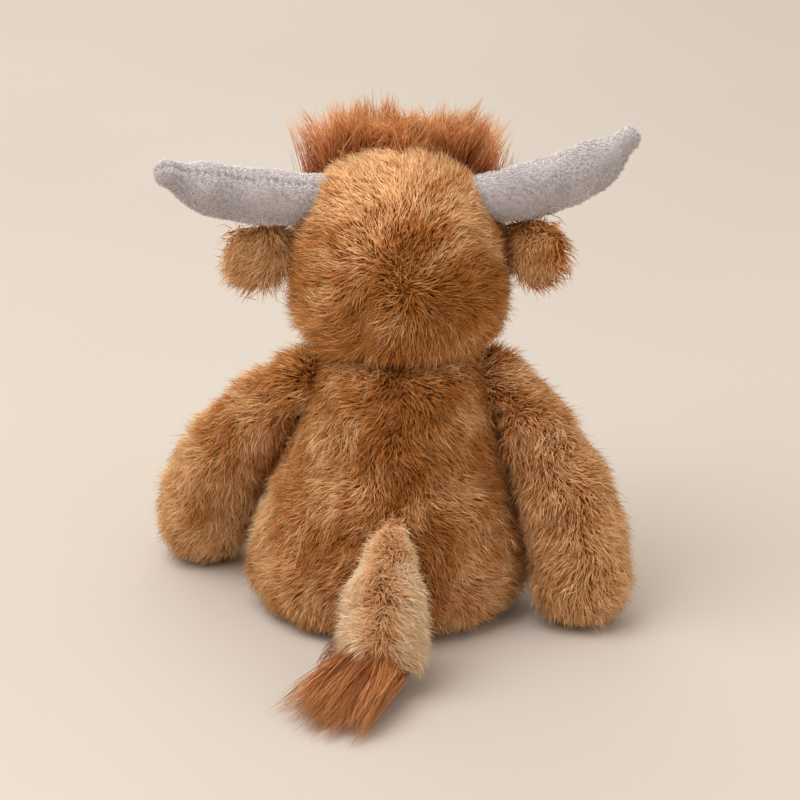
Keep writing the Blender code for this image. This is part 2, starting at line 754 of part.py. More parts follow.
def ear_form():
    """Local +X runs out to the tip, +Z across the ear and +Y through it; the root is round about Z."""
    stations = (
        (-0.5 * EAR_THICKNESS, 0.0, 0.0),
        (-0.35 * EAR_THICKNESS, 0.42, 0.71),
        (0.0, 0.5, 1.0),
        (0.25 * EAR_LENGTH, 0.5 + 0.5 * 0.62, 1.0),
        (0.52 * EAR_LENGTH, 1.0, 0.95),
        (0.76 * EAR_LENGTH, 0.86, 0.84),
        (0.93 * EAR_LENGTH, 0.50, 0.60),
        (EAR_LENGTH, 0.0, 0.0),
    )
    root_share = EAR_ROOT_WIDTH / EAR_WIDTH
    rings = []
    for along, width_share, thickness_share in stations:
        if width_share == 0.0:
            rings.append([(along, 0.0, 0.0)])
            continue
        half = EAR_WIDTH / 2 * max(width_share, root_share * thickness_share if along <= 0 else 0.0)
        thick = EAR_THICKNESS / 2 * thickness_share
        rings.append([
            (along, thick * math.sin(math.tau * i / LIMB_SIDES), half * math.cos(math.tau * i / LIMB_SIDES))
            for i in range(LIMB_SIDES)
        ])
    return Form(rings)


def make_ear(name, side, droop, back, finish, head_form, nod):
    reach = head_half_width(EAR_ROOT_HEIGHT, HEAD_FORWARD - EAR_ROOT_FORWARD)
    out = TORSO_LEAN + side * (reach + EAR_THICKNESS / 2 + SEAM_GAP)
    root = Vector((out, -EAR_ROOT_FORWARD, EAR_ROOT_HEIGHT))
    mirror = Matrix.Scale(side, 4, X_AXIS)
    swing = Matrix.Rotation(math.radians(back), 4, "Z")
    lower = Matrix.Rotation(math.radians(droop), 4, "Y")
    frame = Matrix.Translation(root) @ mirror @ lower @ swing
    form = ear_form().moved(frame)
    turn = frame.to_3x3()
    back_normal = (turn @ Y_AXIS).normalized()
    back_side = half_space(f"{name}_back_side", root, back_normal, 2 * EAR_LENGTH)
    front_side = half_space(f"{name}_front_side", root, -back_normal, 2 * EAR_LENGTH)
    pivot = Pivot(f"{name}_flap", root, side * (turn @ Z_AXIS), nod)
    temples = cleared(f"{name}_temple", head_form, pivot, (-EAR_FLAP, 0.0, EAR_FLAP))
    for layer, cloth, half in (("back", finish.plush, back_side), ("lining", finish.lining, front_side)):
        made = piece(f"{name}_{layer}", form, cloth, pivot)
        keep_inside(made, half)
        cut(made, *temples)


class Swing:
    """The round about an arm's axis, and how far out the torso reaches into it at each radius."""

    def __init__(self, shoulder, outward, torso_form):
        self.shoulder = np.array(shoulder)
        self.outward = np.array(outward)
        self.down = np.cross(self.outward, np.array(Y_AXIS))
        self.down *= -np.sign(self.down[2])
        along, radii, angles = self.measured(torso_form.samples())
        self.radii = np.arange(0.0, TORSO_HEIGHT, SHOULDER_RADIUS / 4)
        self.reach = np.full(len(self.radii), -TORSO_WIDTH)
        for index, radius in enumerate(self.radii):
            breadth = math.asin(min(PAW_RADIUS / max(radius, PAW_RADIUS), 1.0))
            near = np.abs(radii - radius) < SHOULDER_RADIUS / 4
            passed = (angles < math.radians(ARM_FORWARD) + breadth) & (angles > -math.radians(ARM_BACK) - breadth)
            if (near & passed).any():
                self.reach[index] = along[near & passed].max()

    def measured(self, points):
        """The distance along the axis, the distance from it and the angle forwards from straight down."""
        across = points - self.shoulder
        along = across @ self.outward
        down = across @ self.down
        forward = -across[:, 1]
        return along, np.hypot(down, forward), np.arctan2(forward, down)

    def reach_at(self, radius):
        return float(np.interp(radius, self.radii, self.reach))

    def pressed(self, form, clearance):
        """The form with what lies farther in than the torso lets it moved out along the axis."""
        copy = form.moved(Matrix.Identity(4))
        along, radii, _ = self.measured(form.points)
        lowest = np.interp(radii, self.radii, self.reach) + clearance
        push = np.where(radii > SHOULDER_RADIUS, np.maximum(lowest - along, 0.0), 0.0)
        copy.points = form.points + push[:, None] * self.outward
        return copy


def make_arm(name, side, gap, forward, finish, torso_form, floor):
    shoulder_out = torso_half_width(SHOULDER_HEIGHT) + SHOULDER_STAND_OFF
    shoulder = Vector((TORSO_LEAN + side * shoulder_out, 0, SHOULDER_HEIGHT))
    tilt = math.radians(ARM_SWING_TILT)
    outward = Vector((side * math.cos(tilt), 0, math.sin(tilt)))
    pivot = Pivot(f"{name}_swing", shoulder, -side * outward)
    swing = Swing(shoulder, outward, torso_form)
    paw_out = TORSO_WIDTH / 2 + PAW_RADIUS + gap
    paw = Vector((torso_lean(PAW_RADIUS).x + side * paw_out, -forward, PAW_RADIUS - FLOOR_FLAT))
    bend = (shoulder + paw) / 2 + outward * ARM_BOW

    def layer(depth):
        """The arm's form, this deep under its surface."""
        radii = [radius - depth for radius in (SHOULDER_RADIUS, UPPER_ARM_RADIUS, FOREARM_RADIUS, PAW_RADIUS)]
        return swing.pressed(limb_form(shoulder, bend, paw, radii, LIMB_SIDES), ARM_CLEARANCE + depth)

    mouth = peg_form(
        ((0, 0), (0, SHOULDER_RADIUS / 2), (2 * SHOULDER_RADIUS, SHOULDER_RADIUS / 2), (2 * SHOULDER_RADIUS, 0)),
        shoulder,
        -outward,
    )
    cover = piece(f"{name}_cover", layer(0.0), finish.plush, pivot)
    cut(cover, cutter(f"{name}_inside", layer(PLUSH)), cutter(f"{name}_mouth", mouth), floor)
    piece(f"{name}_filling", layer(PLUSH + ARM_FILLING_GAP), finish.filling, pivot)
    rise = swing.reach_at(ARM_DISH_RADIUS) - 2 * FILLING_GAP
    socket = socket_form(shoulder, outward, SHOULDER_RADIUS, ARM_DISH_RADIUS, rise, SHOULDER_CUP_ANGLE)
    return cutter(f"{name}_socket", socket)


def make_leg(name, side, finish, floor):
    belly = torso_half_depth(HIP_RADIUS) * math.sqrt(1 - HIP_OUT_SHARE**2)
    hip_out = TORSO_WIDTH / 2 * HIP_OUT_SHARE
    hip = Vector((side * hip_out, -belly - HIP_STAND_OFF, HIP_RADIUS - FLOOR_FLAT))
    pivot = Pivot(f"{name}_lift", hip, -X_AXIS)
    foot = hip + Vector((side * LEG_SPLAY, -LEG_LENGTH, FOOT_RADIUS - HIP_RADIUS))
    radii = (HIP_RADIUS, SHIN_RADIUS, FOOT_RADIUS, FOOT_RADIUS)
    form = limb_form(hip, (hip + foot) / 2, foot, radii, LIMB_SIDES, FOOT_RADIUS / 2, 1 / 2)
    heading = (foot - hip).normalized()
    mouth = peg_form(
        ((0, 0), (0, HIP_RADIUS / 2), (2 * HIP_RADIUS, HIP_RADIUS / 2), (2 * HIP_RADIUS, 0)), hip, -heading
    )
    sole_face = FOOT_RADIUS / 2
    sole_profile = (
        (sole_face - PLUSH, 0), (sole_face - PLUSH, SOLE_RADIUS), (sole_face, SOLE_RADIUS), (sole_face, 0)
    )
    piece(f"{name}_sole", peg_form(sole_profile, foot, heading), finish.sole, pivot)
    room_profile = (
        (sole_face - PLUSH - SEAM_GAP, 0),
        (sole_face - PLUSH - SEAM_GAP, SOLE_RADIUS + SEAM_GAP),
        (sole_face + OVERRUN, SOLE_RADIUS + SEAM_GAP),
        (sole_face + OVERRUN, 0),
    )
    sole_room = cutter(f"{name}_sole_room", peg_form(room_profile, foot, heading))
    cover = piece(f"{name}_cover", form, finish.plush, pivot)
    cut(cover, cutter(f"{name}_inside", form.drawn_in(PLUSH)), cutter(f"{name}_mouth", mouth), sole_room, floor)
    piece(f"{name}_filling", form.drawn_in(PLUSH + FILLING_GAP), finish.filling, pivot)
    socket = socket_form(hip, -Y_AXIS, HIP_RADIUS, HIP_RADIUS + LEG_DISH_FLARE, LEG_DISH_FLARE, CUP_ANGLE)
    return cutter(f"{name}_socket", socket)


def make_tail(finish, floor):
    root_back = torso_half_depth(TAIL_ROOT_HEIGHT)
    root = Vector((torso_lean(TAIL_ROOT_HEIGHT).x, root_back, TAIL_ROOT_HEIGHT))
    end = Vector((root.x + TAIL_SWEEP, root.y + TAIL_REACH, TAIL_END_RADIUS - FLOOR_FLAT))
    bend = (root + end) / 2 + Vector((0, 1, 1)).normalized() * TAIL_BOW
    radii = (TAIL_ROOT_RADIUS, TAIL_BODY_RADIUS, TAIL_LOWER_RADIUS, TAIL_END_RADIUS)
    form = limb_form(root, bend, end, radii, LIMB_SIDES, TAIL_END_RADIUS / 2)
    heading = bezier_heading(root, bend, end, 1.0)
    level_heading = Vector((heading.x, heading.y, 0)).normalized()
    knot = end + heading * (TAIL_END_RADIUS / 2 + TASSEL_STAND_OFF)
    knot.z = TASSEL_ROOT_RADIUS + SEAM_GAP
    lift = Pivot("tail_lift", root, X_AXIS)
    sweep = Pivot("tassel_sweep", knot, Z_AXIS, lift)
    cover = piece("tail_cover", form, finish.pale_plush, lift)
    mouth = peg_form(
        (
            (0, 0),
            (0, TAIL_ROOT_RADIUS / 3),
            (2 * TAIL_ROOT_RADIUS, TAIL_ROOT_RADIUS / 3),
            (2 * TAIL_ROOT_RADIUS, 0),
        ),
        root,
        -bezier_heading(root, bend, end, 0.0),
    )
    dish_radius = TASSEL_ROOT_RADIUS + TASSEL_DISH_FLARE
    tassel_socket = socket_form(
        knot, level_heading, TASSEL_ROOT_RADIUS, dish_radius, TASSEL_DISH_FLARE, CUP_ANGLE
    )
    tassel_room = cutter("tassel_room", tassel_socket)
    cut(cover, cutter("tail_inside", form.drawn_in(PLUSH)), cutter("tail_mouth", mouth), tassel_room, floor)
    filling = piece("tail_filling", form.drawn_in(PLUSH + SEAM_GAP), finish.filling, lift)
    cut(filling, tassel_room)
    angle = math.radians(-TASSEL_ANGLE)
    heading = Matrix.Rotation(angle, 3, "Z") @ level_heading
    tassel = piece("tail_tassel", tassel_form(knot, heading), finish.hair, sweep)
    cut(tassel, floor)
    dish_radius = TAIL_ROOT_RADIUS + TAIL_DISH_FLARE
    socket = socket_form(root, Y_AXIS, TAIL_ROOT_RADIUS, dish_radius, TAIL_DISH_FLARE, CUP_ANGLE)
    return cutter("tail_socket", socket)


def tassel_form(knot, heading):
    """A flattened fan of locks that starts as half a ball and ends in uneven tips."""
    side = Z_AXIS.cross(heading).normalized()
    sides = 2 * TASSEL_LOCKS
    rings = [[tuple(knot - heading * TASSEL_ROOT_RADIUS)]]
    stations = []
    for step in range(1, CAP_STEPS + 1):
        angle = math.pi / 2 * step / CAP_STEPS
        reach = TASSEL_ROOT_RADIUS * math.sin(angle)
        stations.append((-TASSEL_ROOT_RADIUS * math.cos(angle), reach, reach, 0.0))
    fan_shares = ((0.30, 0.60, 0.90), (0.58, 0.88, 0.74), (0.82, 1.0, 0.56), (0.97, 0.80, 0.34))
    for along_share, width_share, thickness_share in fan_shares:
        stations.append((
            TASSEL_LENGTH * along_share,
            TASSEL_WIDTH / 2 * width_share,
            TASSEL_THICKNESS * thickness_share,
            along_share,
        ))
    for along, half_width, half_thickness, lock_share in stations:
        level = half_thickness - TASSEL_ROOT_RADIUS if lock_share > 0 else 0.0
        ring = []
        for index in range(sides):
            angle = math.tau * index / sides
            swell = TASSEL_LOCK_DEPTH * lock_share * (1 if index % 2 == 0 else -1)
            out = (half_width + swell) * math.cos(angle)
            rise = (half_thickness + swell / 2) * math.sin(angle) + level
            tip = 2 * swell * (1 + math.cos(3 * angle))
            ring.append(tuple(knot + heading * (along + tip) + side * out + Vector((0, 0, rise))))
        rings.append(ring)
    tip_level = TASSEL_THICKNESS * fan_shares[-1][2] - TASSEL_ROOT_RADIUS
    rings.append([tuple(knot + heading * TASSEL_LENGTH + Vector((0, 0, tip_level)))])
    return Form(rings)


def clear_scene():
    for obj in list(bpy.data.objects):
        bpy.data.objects.remove(obj, do_unlink=True)


def main():
    clear_scene()
    finish = Finishes()
    floor_reach = 3 * TORSO_WIDTH
    floor_block = box_form((-floor_reach, -floor_reach, -floor_reach), (floor_reach, floor_reach, 0))
    floor = cutter("floor", floor_block)

    turn = Pivot("head_turn", (TORSO_LEAN, 0, NECK_HEIGHT), Z_AXIS)
    nod = Pivot("head_nod", turn.place, X_AXIS, turn)
    torso_form, torso_panels, torso_filling = make_torso(finish)
    head_form, head_panels, head_filling = make_head(finish, torso_form, nod)
    make_neck(finish, turn, torso_panels[1:] + [torso_filling], head_panels + [head_filling])
    make_muzzle(finish, head_form, nod)
    make_eyes(finish, head_panels[0], head_filling, nod)
    make_forelock(finish, head_form, nod)

    horns = (
        ("horn_left", 1, LEFT_HORN_DROOP, LEFT_HORN_ROLL),
        ("horn_right", -1, RIGHT_HORN_DROOP, RIGHT_HORN_ROLL),
    )
    for name, side, droop, roll in horns:
        make_horn(name, side, droop, roll, finish, head_form, nod)
    make_ear("ear_left", 1, LEFT_EAR_DROOP, LEFT_EAR_BACK, finish, head_form, nod)
    make_ear("ear_right", -1, RIGHT_EAR_DROOP, RIGHT_EAR_BACK, finish, head_form, nod)

    sockets = [
        make_arm("arm_left", 1, LEFT_PAW_GAP, LEFT_PAW_FORWARD, finish, torso_form, floor),
        make_arm("arm_right", -1, RIGHT_PAW_GAP, RIGHT_PAW_FORWARD, finish, torso_form, floor),
        make_leg("leg_left", 1, finish, floor),
        make_leg("leg_right", -1, finish, floor),
        make_tail(finish, floor),
    ]
    for socket in sockets:
        for obj in torso_panels + [torso_filling]:
            cut(obj, socket)


main()
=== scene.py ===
"""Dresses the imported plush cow: stuffed skins, pile, long hair, velour horns, face and studio.

Metres, +Z up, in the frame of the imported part: the toy faces -Y, its own left is +X, and the
origin is the middle of its flat seat. Each stuffed form is a closed skin with fibres standing on
it, and every piece rides on the body of the solids that it dresses.
"""

import logging
import math
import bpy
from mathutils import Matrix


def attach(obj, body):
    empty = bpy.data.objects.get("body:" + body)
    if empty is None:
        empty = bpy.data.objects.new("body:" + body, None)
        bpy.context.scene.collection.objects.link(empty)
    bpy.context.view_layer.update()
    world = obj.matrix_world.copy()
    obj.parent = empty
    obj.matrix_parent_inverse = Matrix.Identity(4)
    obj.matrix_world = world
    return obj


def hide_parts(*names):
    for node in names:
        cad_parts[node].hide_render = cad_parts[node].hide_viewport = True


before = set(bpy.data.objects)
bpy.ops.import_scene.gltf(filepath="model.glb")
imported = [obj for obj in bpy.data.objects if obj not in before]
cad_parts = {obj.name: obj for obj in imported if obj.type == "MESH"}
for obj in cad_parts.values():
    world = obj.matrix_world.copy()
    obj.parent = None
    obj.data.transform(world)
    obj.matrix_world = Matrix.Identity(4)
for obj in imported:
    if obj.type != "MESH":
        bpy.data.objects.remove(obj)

import zlib
from collections.abc import Callable, Sequence
from dataclasses import dataclass, replace
from enum import Enum

import bpy
import numpy as np
from mathutils import Matrix
from numpy.typing import NDArray

Array = NDArray[np.float64]
Mask = NDArray[np.bool_]
Colour = tuple[float, float, float]
Point = tuple[float, float, float]
Pair = tuple[float, float]
Grid = tuple[int, int]
Profile = tuple[tuple[float, ...], ...]
Measure = Callable[[Array], Array]
Mesh = bpy.types.Mesh
Tree = bpy.types.NodeTree

LOG = logging.getLogger("plush_cow")
FLOOR_CLEAR = 0.0003
UV_NAME = "OFBake"
CAP_CELL = ((0.10, 0.02), (0.20, 0.09), (0.36, 0.02))
CELL_SIDES = (0.08, 0.92)
CELL_LEVELS = (0.12, 0.94)
ACROSS = np.array((1.0, 0.0, 0.0))
UP = np.array((0.0, 0.0, 1.0))
LEVEL = np.array((1.0, 1.0, 0.0))
FAR = 1.0
WHORL_EYE = 8.0


class Side(Enum):
    """The toy's own left or right, as the sign of its X."""

    LEFT = 1
    RIGHT = -1

    @property
    def label(self) -> str:
        """The word that piece and node names use."""
        return self.name.lower()


def unit(vectors: Array) -> Array:
    """Each vector over its own length."""
    return vectors / np.maximum(np.linalg.norm(vectors, axis=-1, keepdims=True), 1e-12)


def tangential(vectors: Array, normals: Array) -> Array:
    """The part of each vector that lies in the surface, made unit."""
    return unit(vectors - (vectors * normals).sum(axis=-1, keepdims=True) * normals)


@dataclass(frozen=True)
class Bell:
    """A value that is its height at no distance, and falls away on both sides past its reach."""

    height: float
    reach: float

    def at(self, distance: Array) -> Array:
        """The height times exp of minus the square of distance over reach."""
        return self.height * np.exp(-((distance / self.reach) ** 2))

    def out(self, distance: Array) -> Array:
        """The value with the distance's sign."""
        return self.at(distance) * np.sign(distance)


@dataclass(frozen=True)
class Rise:
    """A value that goes from its start at low to its end at high, level at both."""

    low: float
    high: float
    start: float = 0.0
    end: float = 1.0

    def at(self, values: Array) -> Array:
        """The value, which follows 3s^2 - 2s^3 of the share s of the way."""
        share = np.clip((values - self.low) / (self.high - self.low), 0.0, 1.0)
        return self.start + (self.end - self.start) * share * share * (3 - 2 * share)


def parted(across: Array, gap: Array) -> Array:
    """Distances across a line, made longer by a gap on the side where each lies."""
    return across + np.where(across < 0, -1, 1) * gap


def away(places: Array, point: Sequence[float]) -> Array:
    """How far each place lies from a point."""
    return np.linalg.norm(places - np.array(point), axis=-1)


def whorled(places: Array, middle: Point, reach: float, strength: float) -> Array:
    """Ways out from a whorl, which are nothing in its eye and fall away as a bell past its reach.

    Args:
        places: Points, one row each.
        middle: Its middle.
        reach: How far it is felt.
        strength: How long its ways are.

    Returns:
        The ways.
    """
    gap = places - np.array(middle)
    far = ((gap / reach) ** 2).sum(axis=1, keepdims=True)
    return unit(gap) * strength * np.exp(-far) * (1 - np.exp(-WHORL_EYE * far))


def ring_angles(count: int) -> Array:
    """Angles an equal turn apart, once round."""
    return np.arange(count) * math.tau / count


def seeded(name: str) -> np.random.Generator:
    """A random source that depends on a piece's name alone."""
    return np.random.default_rng(zlib.crc32(name.encode()))


def turn_matrix(axis: str, degrees: float) -> Array:
    """A right-handed turn about one axis as a 4 by 4 matrix.

    Args:
        axis: "X", "Y" or "Z".
        degrees: The turn.

    Returns:
        The matrix.
    """
    first, second = {"X": (1, 2), "Y": (2, 0), "Z": (0, 1)}[axis]
    matrix = np.eye(4)
    matrix[first, first] = matrix[second, second] = math.cos(math.radians(degrees))
    matrix[second, first] = math.sin(math.radians(degrees))
    matrix[first, second] = -matrix[second, first]
    return matrix


def side_frame(place: Point, side: Side, *turns: tuple[str, float]) -> Array:
    """A place, then a mirror for the right side, then turns, as one 4 by 4 matrix.

    Args:
        place: Where the frame's origin lies.
        side: The side, whose sign scales X.
        turns: Axes and degrees, applied last to first.

    Returns:
        The matrix.
    """
    matrix = np.diag([float(side.value), 1.0, 1.0, 1.0])
    matrix[:3, 3] = place
    for turn in turns:
        matrix = matrix @ turn_matrix(*turn)
    return matrix


def axis_frame(place: Array, axis: Array) -> Array:
    """A frame whose local Z is the axis, and whose local X is level where the axis isn't upright.

    Args:
        place: The origin of the frame.
        axis: The direction of local Z.

    Returns:
        The 4 by 4 matrix.
    """
    rise = unit(np.asarray(axis, float))
    first = unit(np.cross(UP if abs(rise[2]) < 0.9 else ACROSS, rise))
    matrix = np.eye(4)
    matrix[:3] = np.stack([first, np.cross(rise, first), rise, place], axis=-1)
    return matrix


def placed(points: Array, matrix: Array) -> Array:
    """Points carried from a frame into the toy's."""
    return points @ matrix[:3, :3].T + matrix[:3, 3]


@dataclass
class Drift:
    """Slow swells over space: the mean of sine waves in seeded directions, from about -1 to 1."""

    seed: int
    wavelength: float
    count: int = 8
    spread: Pair = (0.6, 1.5)

    def at(self, places: Array) -> Array:
        """The swell at each place.

        Args:
            places: Points, one row each.

        Returns:
            One number for each row.
        """
        source = np.random.default_rng(self.seed)
        ways = unit(source.normal(size=(self.count, 3))) * math.tau / self.wavelength
        ways *= source.uniform(*self.spread, (self.count, 1))
        phases = source.uniform(0, math.tau, self.count)
        return np.sin(places @ ways.T + phases).mean(axis=1) * math.sqrt(self.count) / 1.4


@dataclass
class Sown:
    """Places on a skin, with the normal and the way that its rows run at each."""

    places: Array
    normals: Array
    along: Array

    def repeated(self, times: int) -> "Sown":
        """Each place this many times over."""
        return Sown(*(np.repeat(a, times, axis=0) for a in (self.places, self.normals, self.along)))


@dataclass
class Skin:
    """A closed surface of rings, points[row, column], whose first and last rows are poles."""

    points: Array

    def ways(self) -> tuple[Array, Array]:
        """The surface's steps from row to row and from column to column."""
        across = np.roll(self.points, -1, axis=1) - np.roll(self.points, 1, axis=1)
        return np.gradient(self.points, axis=0), across

    def sign(self) -> float:
        """1 where rows cross columns outwards, from the signed volume about the middle."""
        middle = self.points.mean(axis=(0, 1))
        return float(np.sign(((self.points - middle) * np.cross(*self.ways())).sum()))

    def normals(self) -> Array:
        """Unit normals: rows crossed with columns, and at a pole the mean of the ring beside it.

        Returns:
            The normals, shaped as the points are.
        """
        found = unit(np.cross(*self.ways())) * self.sign()
        found[0] = unit(found[1].mean(axis=0))
        found[-1] = unit(found[-2].mean(axis=0))
        return found

    def moved(self, matrix: Array) -> "Skin":
        """The skin in another frame."""
        return Skin(placed(self.points, matrix))

    def pushed(self, distance: Array) -> "Skin":
        """The skin with each point moved out along its normal by its own distance."""
        return Skin(self.points + self.normals() * distance[..., None])

    def cells(self) -> Array:
        """Twice the area of each cell, from its diagonals."""
        after = np.roll(self.points, -1, axis=1)
        return np.linalg.norm(np.cross(after[1:] - self.points[:-1], after[:-1] - self.points[1:]), axis=-1)

    def sown(self, count: int, source: np.random.Generator) -> Sown:
        """Places spread evenly over the area: cells are drawn in turn by their share of it.

        Args:
            count: How many places.
            source: The random source.

        Returns:
            The places, mixed from the corners of their cells.
        """
        ends = np.cumsum(self.cells().ravel())
        drawn = (np.arange(count) + source.random(count)) / count * ends[-1]
        row, column = np.divmod(np.searchsorted(ends, drawn), self.points.shape[1])
        down, across = source.random((2, count, 1))
        far = (column + 1) % self.points.shape[1]

        def mixed(values: Array) -> Array:
            """Values at the drawn places, in proportion across their cells."""
            rings = [values[row, side] * (1 - down) + values[row + 1, side] * down for side in (column, far)]
            return rings[0] * (1 - across) + rings[1] * across

        normals = unit(mixed(self.normals()))
        return Sown(mixed(self.points), normals, tangential(mixed(self.ways()[0]), normals))

    def mesh(self, name: str) -> Mesh:
        """The skin as a closed mesh: each pole is one point in a fan of triangles.

        Args:
            name: The mesh's name.

        Returns:
            The mesh, smooth, its faces outwards.
        """
        rows, columns = self.points.shape[:2]
        points = np.concatenate([self.points[:1, 0], self.points[1:-1].reshape(-1, 3), self.points[-1:, 0]])
        ring = np.arange(columns)
        after = (ring + 1) % columns
        start = 1 + columns * np.arange(rows - 3)[:, None]
        below = start + columns
        quads = np.stack([start + ring, below + ring, below + after, start + after], -1)
        last = 1 + columns * (rows - 3)
        first_fan = np.stack([np.zeros_like(ring), 1 + ring, 1 + after], -1)
        last_fan = np.stack([np.full_like(ring, len(points) - 1), last + after, last + ring], -1)
        faces = [*first_fan.tolist(), *quads.reshape(-1, 4).tolist(), *last_fan.tolist()]
        if self.sign() < 0:
            faces = [face[::-1] for face in faces]
        mesh = bpy.data.meshes.new(name)
        mesh.from_pydata(points.tolist(), [], faces)
        mesh.shade_smooth()
        return mesh


def profile_curve(shares: Profile, steps: int = 10) -> Array:
    """A Catmull-Rom curve through the stations of a profile.

    Args:
        shares: Stations, each a place along and one or more sizes, all as shares.
        steps: Points for each stretch between stations.

    Returns:
        The curve's points.
    """
    stations = np.array(shares, float)
    padded = np.concatenate([stations[:1], stations, stations[-1:]])
    stretches = len(stations) - 1
    before, start, end, after = (padded[i : i + stretches, None] for i in range(4))
    t = (np.arange(1, steps + 1) / steps)[None, :, None]
    curve = 0.5 * (
        2 * start
        + (end - before) * t
        + (2 * before - 5 * start + 4 * end - after) * t**2
        + (3 * start - before - 3 * end + after) * t**3
    )
    return np.concatenate([stations[:1], curve.reshape(-1, stations.shape[1])])


def evenly(curve: Array, rows: int) -> Array:
    """The curve at so many points, an equal length apart."""
    lengths = np.concatenate([[0.0], np.cumsum(np.linalg.norm(np.diff(curve, axis=0), axis=1))])
    return np.array([np.interp(np.linspace(0.0, lengths[-1], rows), lengths, part) for part in curve.T]).T


@dataclass(frozen=True)
class Turned:
    """Oval rings stacked on a profile, which may lean and grow rounder as they rise."""

    shares: Profile
    width: float
    depth: float
    height: float
    place: Point
    lean: float = 0.0
    round_from: float = math.inf

    def middle_x(self, levels: Array) -> Array:
        """Each ring's middle across, at its height over the form's bottom."""
        return self.place[0] + self.lean * np.minimum(levels / self.round_from, 1.0)

    def flatness(self, levels: Array) -> Array:
        """Depth over width at each height, which comes to 1 with the square of the height."""
        flat = self.depth / self.width
        return flat + (1 - flat) * np.minimum(levels / self.round_from, 1.0) ** 2

    def half_width(self, heights: Array | float) -> Array:
        """Half the width at heights in the toy's frame."""
        curve = profile_curve(self.shares)[1:]
        return self.width / 2 * np.interp((heights - self.place[2]) / self.height, curve[:, 0], curve[:, 1])

    def front(self, x: Array, heights: Array, lift: float = 0.0) -> Array:
        """Points on the front, whose reach is the root of the ring's half width squared less x squared."""
        deep = self.depth / self.width * np.sqrt(np.maximum((self.half_width(heights) + lift) ** 2 - x**2, 0))
        return np.stack([self.place[0] + x, self.place[1] - deep, heights], axis=-1)

    def top(self, x: Array, y: Array) -> Array:
        """The height of the upper surface over points, from the oval ring that passes through each.

        Args:
            x: Their places across.
            y: Their places from front to back.

        Returns:
            The heights in the toy's frame.
        """
        size = ((x - self.place[0]) / (self.width / 2)) ** 2 + ((y - self.place[1]) / (self.depth / 2)) ** 2
        curve = profile_curve(self.shares)
        upper = curve[np.argmax(curve[:, 1]) :]
        return np.interp(-np.sqrt(size), -upper[:, 1], upper[:, 0]) * self.height + self.place[2]

    def skin(self, rows: int, columns: int, inset: float = 0.0) -> Skin:
        """The form as a grid: the profile runs up the rows, and the angle goes round the columns.

        Args:
            rows: Rings, poles included.
            columns: Points in each ring.
            inset: How far each point is drawn in along its normal.

        Returns:
            The skin.
        """
        curve = profile_curve(self.shares) * (self.height, self.width / 2)
        levels, halves = (column[:, None] for column in evenly(curve, rows).T)
        angles = ring_angles(columns)
        x = self.middle_x(levels) + halves * np.cos(angles)
        y = self.place[1] + halves * self.flatness(levels) * np.sin(angles)
        z = np.broadcast_to(self.place[2] + levels, x.shape)
        whole = Skin(np.stack([x, y, z], axis=-1))
        return whole.pushed(np.full(x.shape, -inset)) if inset else whole


@dataclass(frozen=True)
class Limb:
    """A tube on a quadratic Bezier path, half a ball at its start and a rounded cap at its end."""

    start: Array
    bend: Array
    end: Array
    radii: tuple[float, ...]
    end_length: float
    end_power: float = 1.0

    def path(self, t: Array) -> tuple[Array, Array]:
        """Points start (1-t)^2 + bend 2t(1-t) + end t^2 at shares t of the way, and unit headings."""
        a, b, c, t = self.start, self.bend, self.end, t[:, None]
        return a * (1 - t) ** 2 + b * 2 * t * (1 - t) + c * t**2, unit((b - a) * (1 - t) + (c - b) * t)

    @property
    def heading(self) -> Array:
        """The way that the tube points at its end."""
        return self.path(np.array([1.0]))[1][0]

    def radius(self, t: Array) -> Array:
        """The radii, spread evenly along the path and eased from one to the next by a cosine.

        Args:
            t: Shares of the way along.

        Returns:
            The radius at each.
        """
        radii = np.array(self.radii)
        scaled = t * (len(radii) - 1)
        index = np.minimum(scaled.astype(int), len(radii) - 2)
        eased = (1 - np.cos(math.pi * (scaled - index))) / 2
        return radii[index] * (1 - eased) + radii[index + 1] * eased

    def thinner(self, depth: float) -> "Limb":
        """The limb under a cloth of this depth."""
        radii = tuple(radius - depth for radius in self.radii)
        return replace(self, radii=radii, end_length=self.end_length - depth)

    def skin(self, rows: int, columns: int, cap_rows: int = 9) -> Skin:
        """The tube as a grid: rings across the path, with caps whose rings follow a quarter circle.

        Args:
            rows: Rings on the path.
            columns: Points in each ring.
            cap_rows: Rings in each cap.

        Returns:
            The skin.
        """
        quarter = np.linspace(0, math.pi / 2, cap_rows + 1)[:-1]
        t = np.linspace(0, 1, rows)
        middles, headings = self.path(t)
        first, last = headings[:1], headings[-1:]
        before = middles[:1] - first * (self.radii[0] * np.cos(quarter))[:, None]
        after = middles[-1:] + last * self.end_length * np.sin(np.append(quarter[1:], math.pi / 2))[:, None]
        middles = np.concatenate([before, middles, after])
        headings = np.concatenate([np.repeat(first, cap_rows, 0), headings, np.repeat(last, cap_rows, 0)])
        end_radii = self.radii[-1] * np.cos(quarter[1:]) ** self.end_power
        radii = np.concatenate([self.radii[0] * np.sin(quarter), self.radius(t), end_radii, [0.0]])
        across = unit(np.cross(headings, UP))
        rise = np.cross(across, headings)
        turn = ring_angles(columns)[None, :, None]
        ring = across[:, None] * np.cos(turn) + rise[:, None] * np.sin(turn)
        return Skin(middles[:, None] + ring * radii[:, None, None])


def lathe(profile: Sequence[Pair], matrix: Array, columns: int) -> Skin:
    """A profile turned round local Z.

    Args:
        profile: Pairs of a distance along local Z and a radius.
        matrix: The frame that it stands in.
        columns: Points in each ring.

    Returns:
        The skin.
    """
    along, radius = (np.array(values)[:, None] for values in zip(*profile))
    x, y = radius * np.cos(ring_angles(columns)), radius * np.sin(ring_angles(columns))
    return Skin(np.stack([x, y, np.broadcast_to(along, x.shape)], axis=-1)).moved(matrix)


